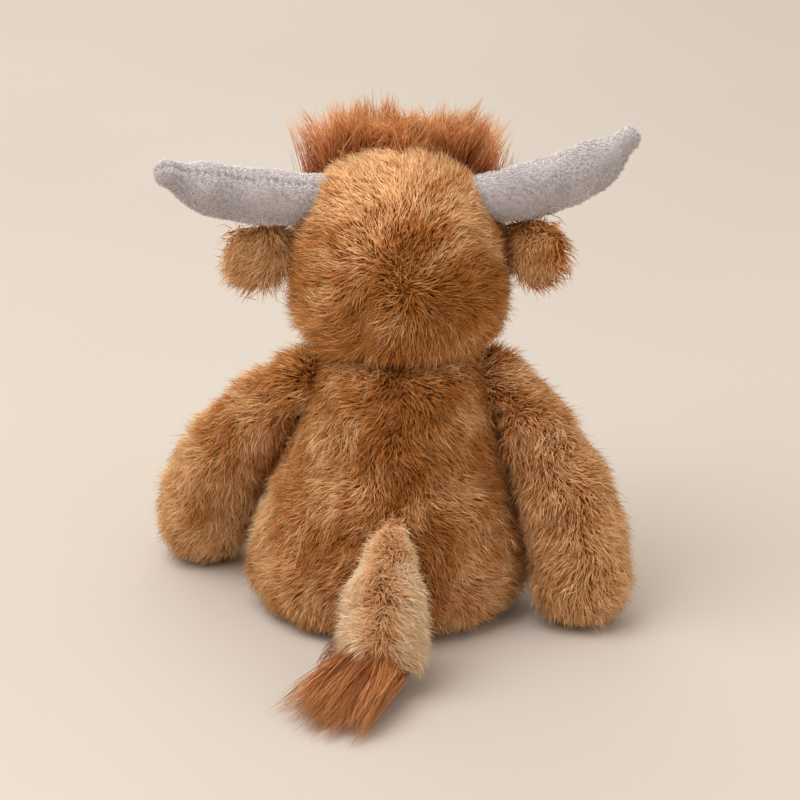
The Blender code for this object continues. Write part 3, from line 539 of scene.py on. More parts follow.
def fibre_mesh(name: str, spines: Array, radii: Array, tones: Array, patches: Array) -> Mesh:
    """Three-sided closed fibres in one mesh.

    A fibre is a ring of three points round each point of its spine but the last, which is its
    tip: a cap, two triangles for each side of each stretch, and three at the tip. Each fibre has a
    cell of its own in the UV map, where its three sides lie side by side.

    Args:
        name: The mesh's name.
        spines: Points, [fibre, step, axis].
        radii: The ring radius, [fibre, step], whose last step isn't used.
        tones: A number from 0 to 1 for each fibre.
        patches: A slow number from 0 to 1 for each fibre.

    Returns:
        The mesh, with the point attributes along, tone and patch.
    """
    count, steps = spines.shape[:2]
    headings = unit(np.gradient(spines, axis=1))
    start = seeded(name).normal(size=(count, 1, 3))
    side = tangential(np.broadcast_to(start, headings.shape), headings)
    rise = np.cross(headings, side)
    turn = ring_angles(3)[None, None, :, None]
    rings = spines[:, :-1, None] + radii[:, :-1, None, None] * (
        side[:, :-1, None] * np.cos(turn) + rise[:, :-1, None] * np.sin(turn)
    )
    points = np.concatenate([rings.reshape(count, -1, 3), spines[:, -1:]], axis=1)
    per_fibre = points.shape[1]
    triangles, cells = [(0, 2, 1)], [CAP_CELL]
    levels, sides = np.linspace(*CELL_LEVELS, steps), np.linspace(*CELL_SIDES, 4)
    for step in range(steps - 1):
        low, top = levels[step : step + 2]
        for column in range(3):
            here, beside = 3 * step + column, 3 * step + (column + 1) % 3
            left, right = sides[column : column + 2]
            if step == steps - 2:
                triangles.append((here, beside, per_fibre - 1))
                cells.append(((left, low), (right, low), ((left + right) / 2, top)))
            else:
                triangles += [(here, beside, beside + 3), (here, beside + 3, here + 3)]
                cells += [((left, low), (right, low), (right, top)), ((left, low), (right, top), (left, top))]
    faces = (np.array(triangles)[None] + per_fibre * np.arange(count)[:, None, None]).reshape(-1)
    mesh = bpy.data.meshes.new(name)
    mesh.vertices.add(count * per_fibre)
    mesh.vertices.foreach_set("co", points.astype(np.float32).ravel())
    mesh.loops.add(len(faces))
    mesh.loops.foreach_set("vertex_index", faces.astype(np.int32))
    mesh.polygons.add(len(faces) // 3)
    mesh.polygons.foreach_set("loop_start", np.arange(0, len(faces), 3, dtype=np.int32))
    mesh.polygons.foreach_set("use_smooth", np.ones(len(faces) // 3, bool))
    per_row = math.ceil(math.sqrt(count))
    corner = np.stack(np.divmod(np.arange(count), per_row)[::-1], axis=-1)[:, None]
    layout = (corner + np.array(cells).reshape(1, -1, 2)) / per_row
    mesh.uv_layers.new(name=UV_NAME).data.foreach_set("uv", layout.astype(np.float32).ravel())
    along = np.append(np.repeat(np.arange(steps - 1) / (steps - 1), 3), 1.0)
    whole = {"tone": np.repeat(tones, per_fibre), "patch": np.repeat(patches, per_fibre)}
    for attribute, values in ({"along": np.tile(along, count)} | whole).items():
        made = mesh.attributes.new(attribute, "FLOAT", "POINT")
        made.data.foreach_set("value", values.astype(np.float32))
    mesh.update()
    mesh.validate()
    return mesh


def thread_mesh(name: str, starts: Array, ends: Array, lift: Array, radius: float) -> Mesh:
    """Short threads: a thread's spine is its straight line plus its lift times the sine of its half turn.

    Args:
        name: The mesh's name.
        starts: Where each thread begins.
        ends: Where each thread ends.
        lift: The way and the height that a middle stands up.
        radius: The thread's radius.

    Returns:
        The mesh.
    """
    t = np.linspace(0, 1, 6)[None, :, None]
    lift = np.broadcast_to(lift, starts.shape)
    spines = starts[:, None] * (1 - t) + ends[:, None] * t + lift[:, None] * np.sin(math.pi * t)
    radii = np.broadcast_to(radius * np.array([0.7, 1, 1, 1, 0.7, 0]), spines.shape[:2])
    level = np.full(len(starts), 0.5)
    return fibre_mesh(name, spines, radii, level, level)


def full_length(places: Array) -> Array:
    """A trim that leaves every fibre as long as it grows."""
    return np.ones(len(places))


def even_colour(places: Array) -> Array:
    """A pallor of nought everywhere."""
    return np.zeros(len(places))


@dataclass(frozen=True)
class Grain:
    """How a pile lies over a form: its comb, its length, its pallor, and the panels that it grows on.

    The comb gives the pile's way at sown places, and the trim the share of the full length, where 0
    is bare. The pallor is added to a fibre's slow number, and more is paler; on the torso, head, arms
    and tail it carries painted light and painted shade. The panels give a mask of roots for each
    panel's name, and None stands for one panel.
    """

    comb: Callable[[Sown], Array]
    trim: Measure = full_length
    pallor: Measure = even_colour
    panels: Callable[[Array], dict[str, Mask]] | None = None


@dataclass(frozen=True)
class Pile:
    """How a cloth's fibres stand: their length, thickness, lean and the tufts that they gather in.

    A field whose name ends in swell is how far slow drifts change a value, and one that ends in
    wave is such a drift's wavelength. A pair gives the limits of an even random draw.
    """

    length: float
    density: float
    lean: float = 54.0
    steps: int = 3
    root_radius: float = 0.00019
    waist_radius: float = 0.00014
    tuft_size: int = 7
    tuft_spread: float = 0.0021
    tuft_pull: float = 0.26
    sink: float = 0.0006
    stray: float = 0.36
    swirl: float = 0.95
    layer: str = "pile"
    bend: Pair = (0.62, 1.28)
    swirl_wave: float = 0.030
    length_swell: float = 0.10
    length_wave: float = 0.022
    lean_swell: float = 0.26
    lean_wave: float = 0.015
    patch_swell: float = 0.26
    patch_wave: float = 0.034
    # Painted light and shade: how far the lean's drift also makes fibres paler or darker.
    lying_swell: float = 0.24
    tuft_growth: Pair = (-0.12, 0.14)
    tuft_widths: Pair = (0.7, 1.35)
    tuft_stray: float = 0.13
    fibre_lengths: Pair = (0.72, 1.12)
    fibre_stray: float = 0.16
    pulls: Pair = (0.3, 1.3)
    tuft_tone: float = 0.55
    shortest: float = 0.12
    floor_play: float = 0.0008

    def underfur(self, density: float) -> "Pile":
        """The short thick fibres that fill in between this pile's roots, so many to a square millimetre."""
        return replace(
            self, length=self.length * 0.66, density=density, lean=self.lean - 8.0, steps=2,
            root_radius=0.00030, tuft_size=3, tuft_pull=0.15, stray=0.55, layer="underfur",
        )

    def taper(self) -> Array:
        """The radius at each step, even between root and waist."""
        return np.linspace(self.root_radius, self.waist_radius, self.steps)[None]

    def spines(self, sown: Sown, combed: Array, lengths: Array, leans: Array) -> Array:
        """Each fibre bends over, stretch by stretch, from near the normal towards the comb.

        Args:
            sown: The roots.
            combed: The way each fibre is combed, a unit vector in the surface.
            lengths: Each fibre's length.
            leans: Each fibre's mean lean from the normal in radians.

        Returns:
            The spines, [fibre, step, axis].
        """
        stretches = self.steps - 1
        bends = (leans[:, None] * np.linspace(*self.bend, stretches))[..., None]
        reach = np.cos(bends) * sown.normals[:, None] + np.sin(bends) * combed[:, None]
        reach *= (lengths / stretches)[:, None, None]
        base = (sown.places - sown.normals * self.sink)[:, None]
        return np.concatenate([base, base + np.cumsum(reach, axis=1)], axis=1)

    def coat(self, skin: Skin, name: str, grain: Grain) -> "Coat":
        """Fibres all over a skin, in tufts: a tuft's fibres start round its middle and lean to its tip.

        Args:
            skin: The skin that they stand on.
            name: The name that seeds the coat.
            grain: How the pile lies.

        Returns:
            The coat.
        """
        source = seeded(f"{name}_{self.layer}")
        tufts = skin.sown(int(skin.cells().sum() / 2 * self.density * 1e6 / self.tuft_size), source)
        count = len(tufts.places)
        seed = zlib.crc32(name.encode()) % 997
        turns = self.swirl * Drift(seed, self.swirl_wave).at(tufts.places)[:, None]
        combed = tangential(grain.comb(tufts), tufts.normals)
        combed = combed * np.cos(turns) + np.cross(tufts.normals, combed) * np.sin(turns)
        swell = self.length_swell * Drift(seed + 1, self.length_wave).at(tufts.places)
        lengths = self.length * (1 + swell + source.uniform(*self.tuft_growth, count))
        lengths *= grain.trim(tufts.places)
        lying = Drift(seed + 2, self.lean_wave)
        leans = np.radians(self.lean) * (1 + self.lean_swell * lying.at(tufts.places))
        leans += source.normal(0, self.tuft_stray, count)
        each = (self.spines(tufts, combed, lengths, leans), source.random(count), combed, lengths, leans)
        tuft_spines, tuft_tones, combed, lengths, leans = (np.repeat(a, self.tuft_size, axis=0) for a in each)
        members = tufts.repeated(self.tuft_size)
        total = len(members.places)
        crossed = np.cross(members.normals, combed)
        spread = np.repeat(source.uniform(*self.tuft_widths, count), self.tuft_size) * self.tuft_spread
        shift, shift_across = (source.normal(size=(2, total)) * spread)[..., None]
        members.places = members.places + combed * shift + crossed * shift_across
        stray = source.normal(0, self.stray, (total, 1))
        combed = combed * np.cos(stray) + crossed * np.sin(stray)
        lengths = lengths * source.uniform(*self.fibre_lengths, total)
        leans = leans + source.normal(0, self.fibre_stray, total)
        spines = self.spines(members, combed, lengths, leans)
        pull = self.tuft_pull * np.linspace(0, 1, self.steps)[None, :, None]
        spines = spines + (tuft_spines - spines) * pull * source.uniform(*self.pulls, (total, 1, 1))
        low = FLOOR_CLEAR + source.uniform(0, self.floor_play, (total, 1))
        spines[..., 2] = np.maximum(spines[..., 2], low)
        tones = self.tuft_tone * tuft_tones + (1 - self.tuft_tone) * source.random(total)
        # Slow patches: partly a random tone, partly painted light and shade for how the lie of the fibres
        # catches the light, plus the form's pallor.
        patches = 0.5 + self.patch_swell * Drift(seed + 3, self.patch_wave).at(members.places)
        patches += self.lying_swell * lying.at(members.places) + grain.pallor(members.places)
        coat = Coat(self, members.places, spines, tones, np.clip(patches, 0, 1))
        return coat.kept(lengths > self.shortest * self.length)


Piles = Sequence[Pile]


@dataclass
class Coat:
    """Fibres that are ready to become meshes, and may be split between panels."""

    pile: Pile
    roots: Array
    spines: Array
    tones: Array
    patches: Array
    widths: Pair = (0.8, 1.2)

    def kept(self, mask: Mask) -> "Coat":
        """The fibres where the mask is true."""
        return Coat(self.pile, self.roots[mask], self.spines[mask], self.tones[mask], self.patches[mask])

    def mesh(self, name: str) -> Mesh:
        """The fibres as one mesh, thinner towards the tip and each a little thicker or thinner."""
        own = seeded(name + "_width").uniform(*self.widths, (len(self.roots), 1))
        return fibre_mesh(name, self.spines, self.pile.taper() * own, self.tones, self.patches)


Socket = bpy.types.NodeSocket
Sockets = bpy.types.bpy_prop_collection
Inputs = dict[str | int, object]


class Nodes:
    """A node tree, with short calls that add and join nodes."""

    def __init__(self, tree: Tree) -> None:
        """Keeps the tree."""
        self.tree = tree

    def add(self, kind: str, inputs: Inputs | None = None, **settings: object) -> bpy.types.Node:
        """Adds a node.

        Args:
            kind: The node's type name after "ShaderNode".
            inputs: Values or output sockets for its inputs, by name or index.
            settings: Its properties.

        Returns:
            The node.
        """
        node = self.tree.nodes.new(f"ShaderNode{kind}")
        for setting, value in settings.items():
            setattr(node, setting, value)
        for key, value in (inputs or {}).items():
            self.feed(value, node.inputs[key])
        return node

    def feed(self, value: object, socket: Socket) -> None:
        """Links an output socket to an input, or sets the input to a number or a colour.

        Args:
            value: The output socket, number or colour.
            socket: The input.
        """
        if isinstance(value, Socket):
            self.tree.links.new(value, socket)
        else:
            socket.default_value = (*value, 1.0) if isinstance(value, tuple) else value

    def maths(self, operation: str, first: object, second: object) -> Socket:
        """One sum of two values or sockets."""
        return self.add("Math", {0: first, 1: second}, operation=operation).outputs[0]

    def ranged(self, value: object, start: Pair, end: Pair) -> Socket:
        """A value carried smoothly from one range to another."""
        limits = dict(zip(("Value", "From Min", "From Max", "To Min", "To Max"), (value, *start, *end)))
        return self.add("MapRange", limits, interpolation_type="SMOOTHSTEP").outputs[0]

    def blended(self, share: object, first: object, second: object) -> Socket:
        """Two colours mixed by a share."""
        return self.add("Mix", {0: share, 6: first, 7: second}, data_type="RGBA").outputs[2]

    def shaded(self, colour: object, value: object) -> Socket:
        """A colour with its brightness multiplied."""
        return self.add("HueSaturation", {"Color": colour, "Value": value}).outputs[0]

    def where(self) -> Socket:
        """Places in the object's own frame."""
        return self.add("TexCoord").outputs["Object"]

    def attribute(self, name: str) -> Socket:
        """A point attribute's number."""
        return self.add("Attribute", attribute_name=name).outputs["Fac"]


class Effects:
    """The node groups that several finishes share, built once."""

    def __init__(self) -> None:
        """Builds each group."""
        self.fibre = self.make_fibre()
        self.mottle = self.make_mottle()
        self.weave = self.make_weave()

    @staticmethod
    def group(name: str, inputs: dict[str, str], outputs: dict[str, str]) -> tuple[Nodes, Sockets, Sockets]:
        """An empty group with named sockets.

        Args:
            name: The group's name.
            inputs: Socket names and types.
            outputs: Socket names and types.

        Returns:
            Its nodes, its input node's sockets and its output node's sockets.
        """
        tree = bpy.data.node_groups.new(name, "ShaderNodeTree")
        for way, sockets in (("INPUT", inputs), ("OUTPUT", outputs)):
            for label, kind in sockets.items():
                tree.interface.new_socket(label, in_out=way, socket_type=f"NodeSocket{kind}")
        return Nodes(tree), tree.nodes.new("NodeGroupInput").outputs, tree.nodes.new("NodeGroupOutput").inputs

    def make_fibre(self) -> Tree:
        """A fibre's colour from root to tip, varied by its tone and by slow patches, which carry painted
        light and painted shade.

        Returns:
            The group. The place along the fibre, moved by its patch and its tone, picks the colour,
            and both change its brightness.
        """
        colours = dict.fromkeys(("Root", "Body", "Tip"), "Color")
        amounts = dict.fromkeys(("Variety", "Patches", "Shift"), "Float")
        nodes, given, result = self.group("fibre_colour", colours | amounts, {"Color": "Color"})
        along, tone, patch = (nodes.attribute(name) for name in ("along", "tone", "patch"))
        whole, even = (0.0, 1.0), (-1.0, 1.0)
        slow = nodes.ranged(patch, whole, even)
        lifted = nodes.maths("ADD", along, nodes.maths("MULTIPLY", slow, given["Shift"]))
        low = nodes.blended(nodes.ranged(lifted, (-0.2, 0.5), whole), given["Root"], given["Body"])
        tipped = nodes.maths("ADD", lifted, nodes.ranged(tone, whole, (-0.25, 0.25)))
        colour = nodes.blended(nodes.ranged(tipped, (0.42, 1.12), whole), low, given["Tip"])
        swing = nodes.maths("MULTIPLY", nodes.ranged(tone, whole, even), given["Variety"])
        bright = nodes.maths("ADD", swing, nodes.maths("MULTIPLY", slow, given["Patches"]))
        nodes.feed(nodes.shaded(colour, nodes.maths("ADD", bright, 1.0)), result["Color"])
        return nodes.tree

    def make_mottle(self) -> Tree:
        """Cloudy brightness about 1 from two sizes of noise.

        Returns:
            The group.
        """
        nodes, given, result = self.group("mottle", {"Scale": "Float", "Amount": "Float"}, {"Shade": "Float"})
        where = nodes.where()
        broad = nodes.add("TexNoise", {"Vector": where, "Scale": given["Scale"], "Detail": 4.0})
        fine_scale = nodes.maths("MULTIPLY", given["Scale"], 7.0)
        fine = nodes.add("TexNoise", {"Vector": where, "Scale": fine_scale, "Detail": 3.0})
        both = nodes.maths("ADD", broad.outputs["Fac"], nodes.maths("MULTIPLY", fine.outputs["Fac"], 0.6))
        centred = nodes.maths("MULTIPLY", nodes.maths("SUBTRACT", both, 0.8), given["Amount"])
        nodes.feed(nodes.maths("ADD", centred, 1.0), result["Shade"])
        return nodes.tree

    def make_weave(self) -> Tree:
        """The height of crossed threads, from bands along two of the object's axes, and painted shade that is
        darker where the threads lie low.

        Returns:
            The group.
        """
        nodes, given, result = self.group("weave", {"Scale": "Float"}, {"Height": "Float", "Shade": "Float"})
        threads = {"Vector": nodes.where(), "Scale": given["Scale"], "Distortion": 1.2, "Detail": 1.0}
        bands = (nodes.add("TexWave", threads, bands_direction=way).outputs["Fac"] for way in ("X", "Z"))
        height = nodes.maths("MULTIPLY", nodes.maths("ADD", *bands), 0.5)
        nodes.feed(height, result["Height"])
        # Painted shade: the low parts of the weave are darker.
        nodes.feed(nodes.ranged(height, (0.0, 1.0), (0.72, 1.12)), result["Shade"])
        return nodes.tree


class Shader(Nodes):
    """A material's nodes, with its shader's inputs and the shared groups."""

    def __init__(self, material: bpy.types.Material, effects: Effects) -> None:
        """Keeps the inputs and the groups."""
        super().__init__(material.node_tree)
        self.inputs, self.effects = material.node_tree.nodes["Principled BSDF"].inputs, effects

    def colour(self, colour: Colour, shade: object) -> None:
        """Feeds the base colour with a colour whose brightness is multiplied by a shade."""
        self.feed(self.shaded(colour, shade), self.inputs["Base Color"])

    def clouds(self, scale: float, amount: float) -> Socket:
        """The shade of the shared clouds."""
        values = {"Scale": scale, "Amount": amount}
        return self.add("Group", values, node_tree=self.effects.mottle).outputs["Shade"]


@dataclass(frozen=True)
class Finish:
    """What every finish has: a name, a roughness and the shader's plain sockets."""

    name: str
    roughness: float
    sockets: tuple[tuple[str, float], ...] = ()

    def build(self, effects: Effects) -> bpy.types.Material:
        """A new material with this finish's constants on its shader, and its nodes behind them.

        Args:
            effects: The shared groups.

        Returns:
            The material.
        """
        made = bpy.data.materials.new(self.name)
        made.use_nodes = True
        shader = Shader(made, effects)
        for socket, value in (("Roughness", self.roughness), *self.sockets):
            shader.inputs[socket].default_value = value
        self.dress(shader)
        return made

    def dress(self, shader: Shader) -> None:
        """Feeds the shader, which each kind of finish does in its own way."""
        raise NotImplementedError


@dataclass(frozen=True)
class FibreFinish(Finish):
    """Fibres darker at the root and paler at the tip: partly their own colour, partly painted light, as the
    pale tips also stand in for light shining through them.
    """

    root: Colour = (0.10, 0.04, 0.015)
    body: Colour = (0.40, 0.18, 0.07)
    tip: Colour = (0.60, 0.33, 0.15)
    variety: float = 0.16
    patches: float = 0.10
    shift: float = 0.29
    scuff: Pair = (0.12, -0.08)

    def dress(self, shader: Shader) -> None:
        """The shared fibre colour feeds the shader, and the tone varies its roughness.

        Args:
            shader: The material's shader.
        """
        colours = {"Root": self.root, "Body": self.body, "Tip": self.tip}
        amounts = {"Variety": self.variety, "Patches": self.patches, "Shift": self.shift}
        colour = shader.add("Group", colours | amounts, node_tree=shader.effects.fibre)
        shader.feed(colour.outputs["Color"], shader.inputs["Base Color"])
        ends = tuple(self.roughness + change for change in self.scuff)
        shader.feed(shader.ranged(shader.attribute("tone"), (0.0, 1.0), ends), shader.inputs["Roughness"])


@dataclass(frozen=True)
class ClothFinish(Finish):
    """A knitted or woven cloth, with threads, clouds of shade and a bump."""

    colour: Colour = (0.2, 0.1, 0.05)
    thread_scale: float = 900.0
    cloud_scale: float = 60.0
    cloud_amount: float = 0.35
    bump: float = 0.35
    bump_distance: float = 0.0002

    def dress(self, shader: Shader) -> None:
        """Weave and clouds shade the colour, and the weave's height bumps the normal.

        Args:
            shader: The material's shader.
        """
        weave = shader.add("Group", {"Scale": self.thread_scale}, node_tree=shader.effects.weave).outputs
        cloud = shader.clouds(self.cloud_scale, self.cloud_amount)
        shader.colour(self.colour, shader.maths("MULTIPLY", weave["Shade"], cloud))
        raised = {"Height": weave["Height"], "Strength": self.bump, "Distance": self.bump_distance}
        shader.feed(shader.add("Bump", raised).outputs[0], shader.inputs["Normal"])


@dataclass(frozen=True)
class MouldedFinish(Finish):
    """Moulded plastic: a faint cloud of shade and fine scuffs in the gloss."""

    colour: Colour = (0.8, 0.8, 0.78)
    cloud_scale: float = 120.0
    cloud_amount: float = 0.06
    scuff: float = 0.05

    def dress(self, shader: Shader) -> None:
        """Clouds shade the colour and shift the roughness.

        Args:
            shader: The material's shader.
        """
        shade = shader.clouds(self.cloud_scale, self.cloud_amount)
        shader.colour(self.colour, shade)
        ends = (self.roughness - self.scuff, self.roughness + self.scuff)
        shader.feed(shader.ranged(shade, (0.9, 1.1), ends), shader.inputs["Roughness"])


@dataclass(frozen=True)
class PaperFinish(Finish):
    """The studio's paper: one colour with a broad faint cloud in it."""

    colour: Colour = (0.685, 0.632, 0.582)
    cloud_scale: float = 2.5
    cloud_detail: float = 2.0
    cloud_range: Pair = (0.3, 0.7)
    shades: Pair = (0.985, 1.015)

    def dress(self, shader: Shader) -> None:
        """Noise shades the colour.

        Args:
            shader: The material's shader.
        """
        cloud = {"Vector": shader.where(), "Scale": self.cloud_scale, "Detail": self.cloud_detail}
        noise = shader.add("TexNoise", cloud).outputs["Fac"]
        shader.colour(self.colour, shader.ranged(noise, self.cloud_range, self.shades))


SOFT = (("Specular IOR Level", 0.15),)
FINISHES: tuple[Finish, ...] = (
    FibreFinish(
        "tan_plush_pile", 0.62, SOFT, root=(0.33, 0.092, 0.015), body=(0.68, 0.255, 0.049),
        tip=(0.97, 0.645, 0.35), variety=0.28,
    ),
    FibreFinish(
        "pale_plush_pile", 0.62, SOFT, root=(0.70, 0.31, 0.10), body=(0.96, 0.54, 0.25),
        tip=(0.98, 0.79, 0.56),
    ),
    FibreFinish(
        "cream_plush_pile", 0.7, SOFT, root=(0.58, 0.43, 0.27), body=(0.88, 0.73, 0.54),
        tip=(0.96, 0.87, 0.73), variety=0.07, patches=0.05, shift=0.12,
    ),
    FibreFinish(
        "rust_hair_strands", 0.5, (("Specular IOR Level", 0.3),), root=(0.34, 0.10, 0.028),
        body=(0.68, 0.25, 0.082), tip=(0.88, 0.47, 0.21), variety=0.22, patches=0.14, shift=0.22,
    ),
    # Painted shade: a darker copy of the rust hair for the tassel, which lies on the floor in the lamps'
    # light.
    FibreFinish(
        "rust_tassel_strands", 0.5, (("Specular IOR Level", 0.25),), root=(0.28, 0.08, 0.022),
        body=(0.52, 0.18, 0.055), tip=(0.74, 0.36, 0.15), variety=0.24, patches=0.14, shift=0.22,
    ),
    # The dark root and the wide variety paint speckled shade into the nap, standing in for shadows between
    # its tufts.
    FibreFinish(
        "grey_velour_pile", 0.75, (("Sheen Weight", 0.25), *SOFT), root=(0.29, 0.252, 0.265),
        body=(0.76, 0.705, 0.74), tip=(0.98, 0.96, 0.99), variety=0.26, patches=0.04, shift=0.07,
    ),
    FibreFinish(
        "ear_lining_pile", 0.7, SOFT, root=(0.30, 0.10, 0.025), body=(0.58, 0.235, 0.075),
        tip=(0.76, 0.42, 0.19), variety=0.12, shift=0.15,
    ),
    ClothFinish("tan_backing", 0.95, colour=(0.46, 0.18, 0.045)),
    ClothFinish("pale_backing", 0.95, colour=(0.58, 0.30, 0.12)),
    ClothFinish("cream_backing", 0.95, colour=(0.60, 0.46, 0.31)),
    ClothFinish("rust_backing", 0.95, colour=(0.34, 0.11, 0.035)),
    ClothFinish("grey_velour_knit", 0.9, colour=(0.56, 0.51, 0.53), thread_scale=700.0, bump=0.5),
    ClothFinish(
        "sole_suede_cloth", 0.9, (("Sheen Weight", 0.4),), colour=(0.22, 0.15, 0.11), thread_scale=420.0
    ),
    ClothFinish("stitch_thread", 0.6, colour=(0.62, 0.56, 0.55), thread_scale=2200.0),
    ClothFinish("face_thread", 0.5, colour=(0.10, 0.05, 0.035), thread_scale=2200.0),
    ClothFinish("pouch_cotton_weave", 0.9, colour=(0.74, 0.69, 0.60)),
    ClothFinish(
        "white_wadding", 1.0, (("Sheen Weight", 0.5),), colour=(0.84, 0.84, 0.82), thread_scale=300.0,
        cloud_scale=220.0,
    ),
    MouldedFinish(
        "black_bead_gloss", 0.07, (("Coat Weight", 0.15), ("Coat Roughness", 0.03)),
        colour=(0.008, 0.006, 0.005), scuff=0.03,
    ),
    MouldedFinish("washer_moulding", 0.4),
    PaperFinish("studio_paper", 0.95, (("Specular IOR Level", 0.1),)),
)


@dataclass(frozen=True)
class Fabric:
    """A fabric: its slot in the record, and the finishes of its fibres and of its backing."""

    slot: str
    fibres: str
    backing: str


PLUSH = Fabric("tan_plush", "tan_plush_pile", "tan_backing")
PALE = Fabric("pale_plush", "pale_plush_pile", "pale_backing")
CREAM = Fabric("cream_plush", "cream_plush_pile", "cream_backing")
VELOUR = Fabric("grey_velour", "grey_velour_pile", "grey_velour_knit")
LINING = Fabric("ear_lining", "ear_lining_pile", "tan_backing")
HAIR = Fabric("rust_hair", "rust_hair_strands", "rust_backing")
SUEDE = Fabric("sole_suede", "stitch_thread", "sole_suede_cloth")


@dataclass
class Part:
    """A sub-assembly: it holds the finishes and puts its pieces into the scene, on its own body."""

    finishes: dict[str, bpy.types.Material]

    @property
    def body(self) -> str:
        """The CAD body that it rides on, and what the names of its pieces start with."""
        return type(self).__name__.lower()

    def publish(
        self, mesh: Mesh, slot: str, finish: str, replaced: Sequence[str] = (), fill: float | None = None
    ) -> None:
        """Puts a finished mesh into the scene as a piece of the toy.

        Args:
            mesh: The mesh, in the toy's frame.
            slot: The record's material slot; not used.
            finish: The name of its finish.
            replaced: The CAD nodes that it stands for.
            fill: How full a stuffed piece is, or None for another kind of piece; not used.
        """
        obj = bpy.data.objects.new(mesh.name, mesh)
        bpy.context.scene.collection.objects.link(obj)
        mesh.materials.append(self.finishes[finish])
        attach(obj, self.body)
        if replaced:
            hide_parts(*replaced)
        LOG.info("%s: %d faces, rides on %s", mesh.name, len(mesh.polygons), self.body)

    def stuff(self, skin: Skin, fabric: Fabric, parts: Sequence[str], fill: float, name: str = "") -> None:
        """Publishes a stuffed skin in its fabric's backing.

        Args:
            skin: The skin.
            fabric: Its fabric.
            parts: What follows its name in the names of the CAD nodes that it stands for.
            fill: How full it is.
            name: Its name, if it isn't its body's.
        """
        name = name or self.body
        nodes = [f"{name}_{part}" for part in parts]
        self.publish(skin.mesh(f"{name}_skin"), fabric.slot, fabric.backing, nodes, fill)

    def grow(self, layers: Piles, skin: Skin, fabric: Fabric, grain: Grain, name: str = "") -> None:
        """Publishes each layer of a fabric's fibres, one piece for each panel.

        Args:
            layers: The piles, such as a long one and its underfur.
            skin: The skin that they stand on.
            fabric: Their fabric.
            grain: How they lie.
            name: Their name, if it isn't their body's.
        """
        name = name or self.body
        for layer in layers:
            coat = layer.coat(skin, name, grain)
            masks = grain.panels(coat.roots) if grain.panels else {"": np.ones(len(coat.roots), bool)}
            for panel, mask in masks.items():
                label = "_".join(filter(None, (name, layer.layer, panel)))
                self.publish(coat.kept(mask).mesh(label), fabric.slot, fabric.fibres)


@dataclass
class Sided(Part):
    """A part of the toy's left or right."""

    side: Side

    @property
    def body(self) -> str:
        """The body of its side."""
        return f"{super().body}_{self.side.label}"


def fur(length: float, density: float, under_density: float, lean: float = 54.0) -> tuple[Pile, Pile]:
    """A plush fabric's long pile, leaning from the normal in degrees, and its underfur."""
    long_pile = Pile(length=length, density=density, lean=lean)
    return long_pile, long_pile.underfur(under_density)


@dataclass
class Seamed(Part):
    """A stuffed form whose seam down the back pinches the skin in and parts the pile."""

    form: Turned
    grid: Grid
    cloth: float
    layers: Piles
    seam_pinch: Bell
    seam_comb: Bell
    seam_trim: Bell

    def cover(self, parts: Sequence[str], fill: float) -> None:
        """Makes the pinched skin and the pile of each panel.

        Args:
            parts: What follows its name in the names of the CAD nodes that it stands for.
            fill: How full it is.
        """
        whole = self.form.skin(*self.grid, self.cloth)
        skin = whole.pushed(-self.seam_pinch.at(self.seam_distance(whole.points)))
        self.stuff(skin, PLUSH, parts, fill)
        self.grow(self.layers, skin, PLUSH, Grain(self.comb, self.trim, self.pallor, self.panels))


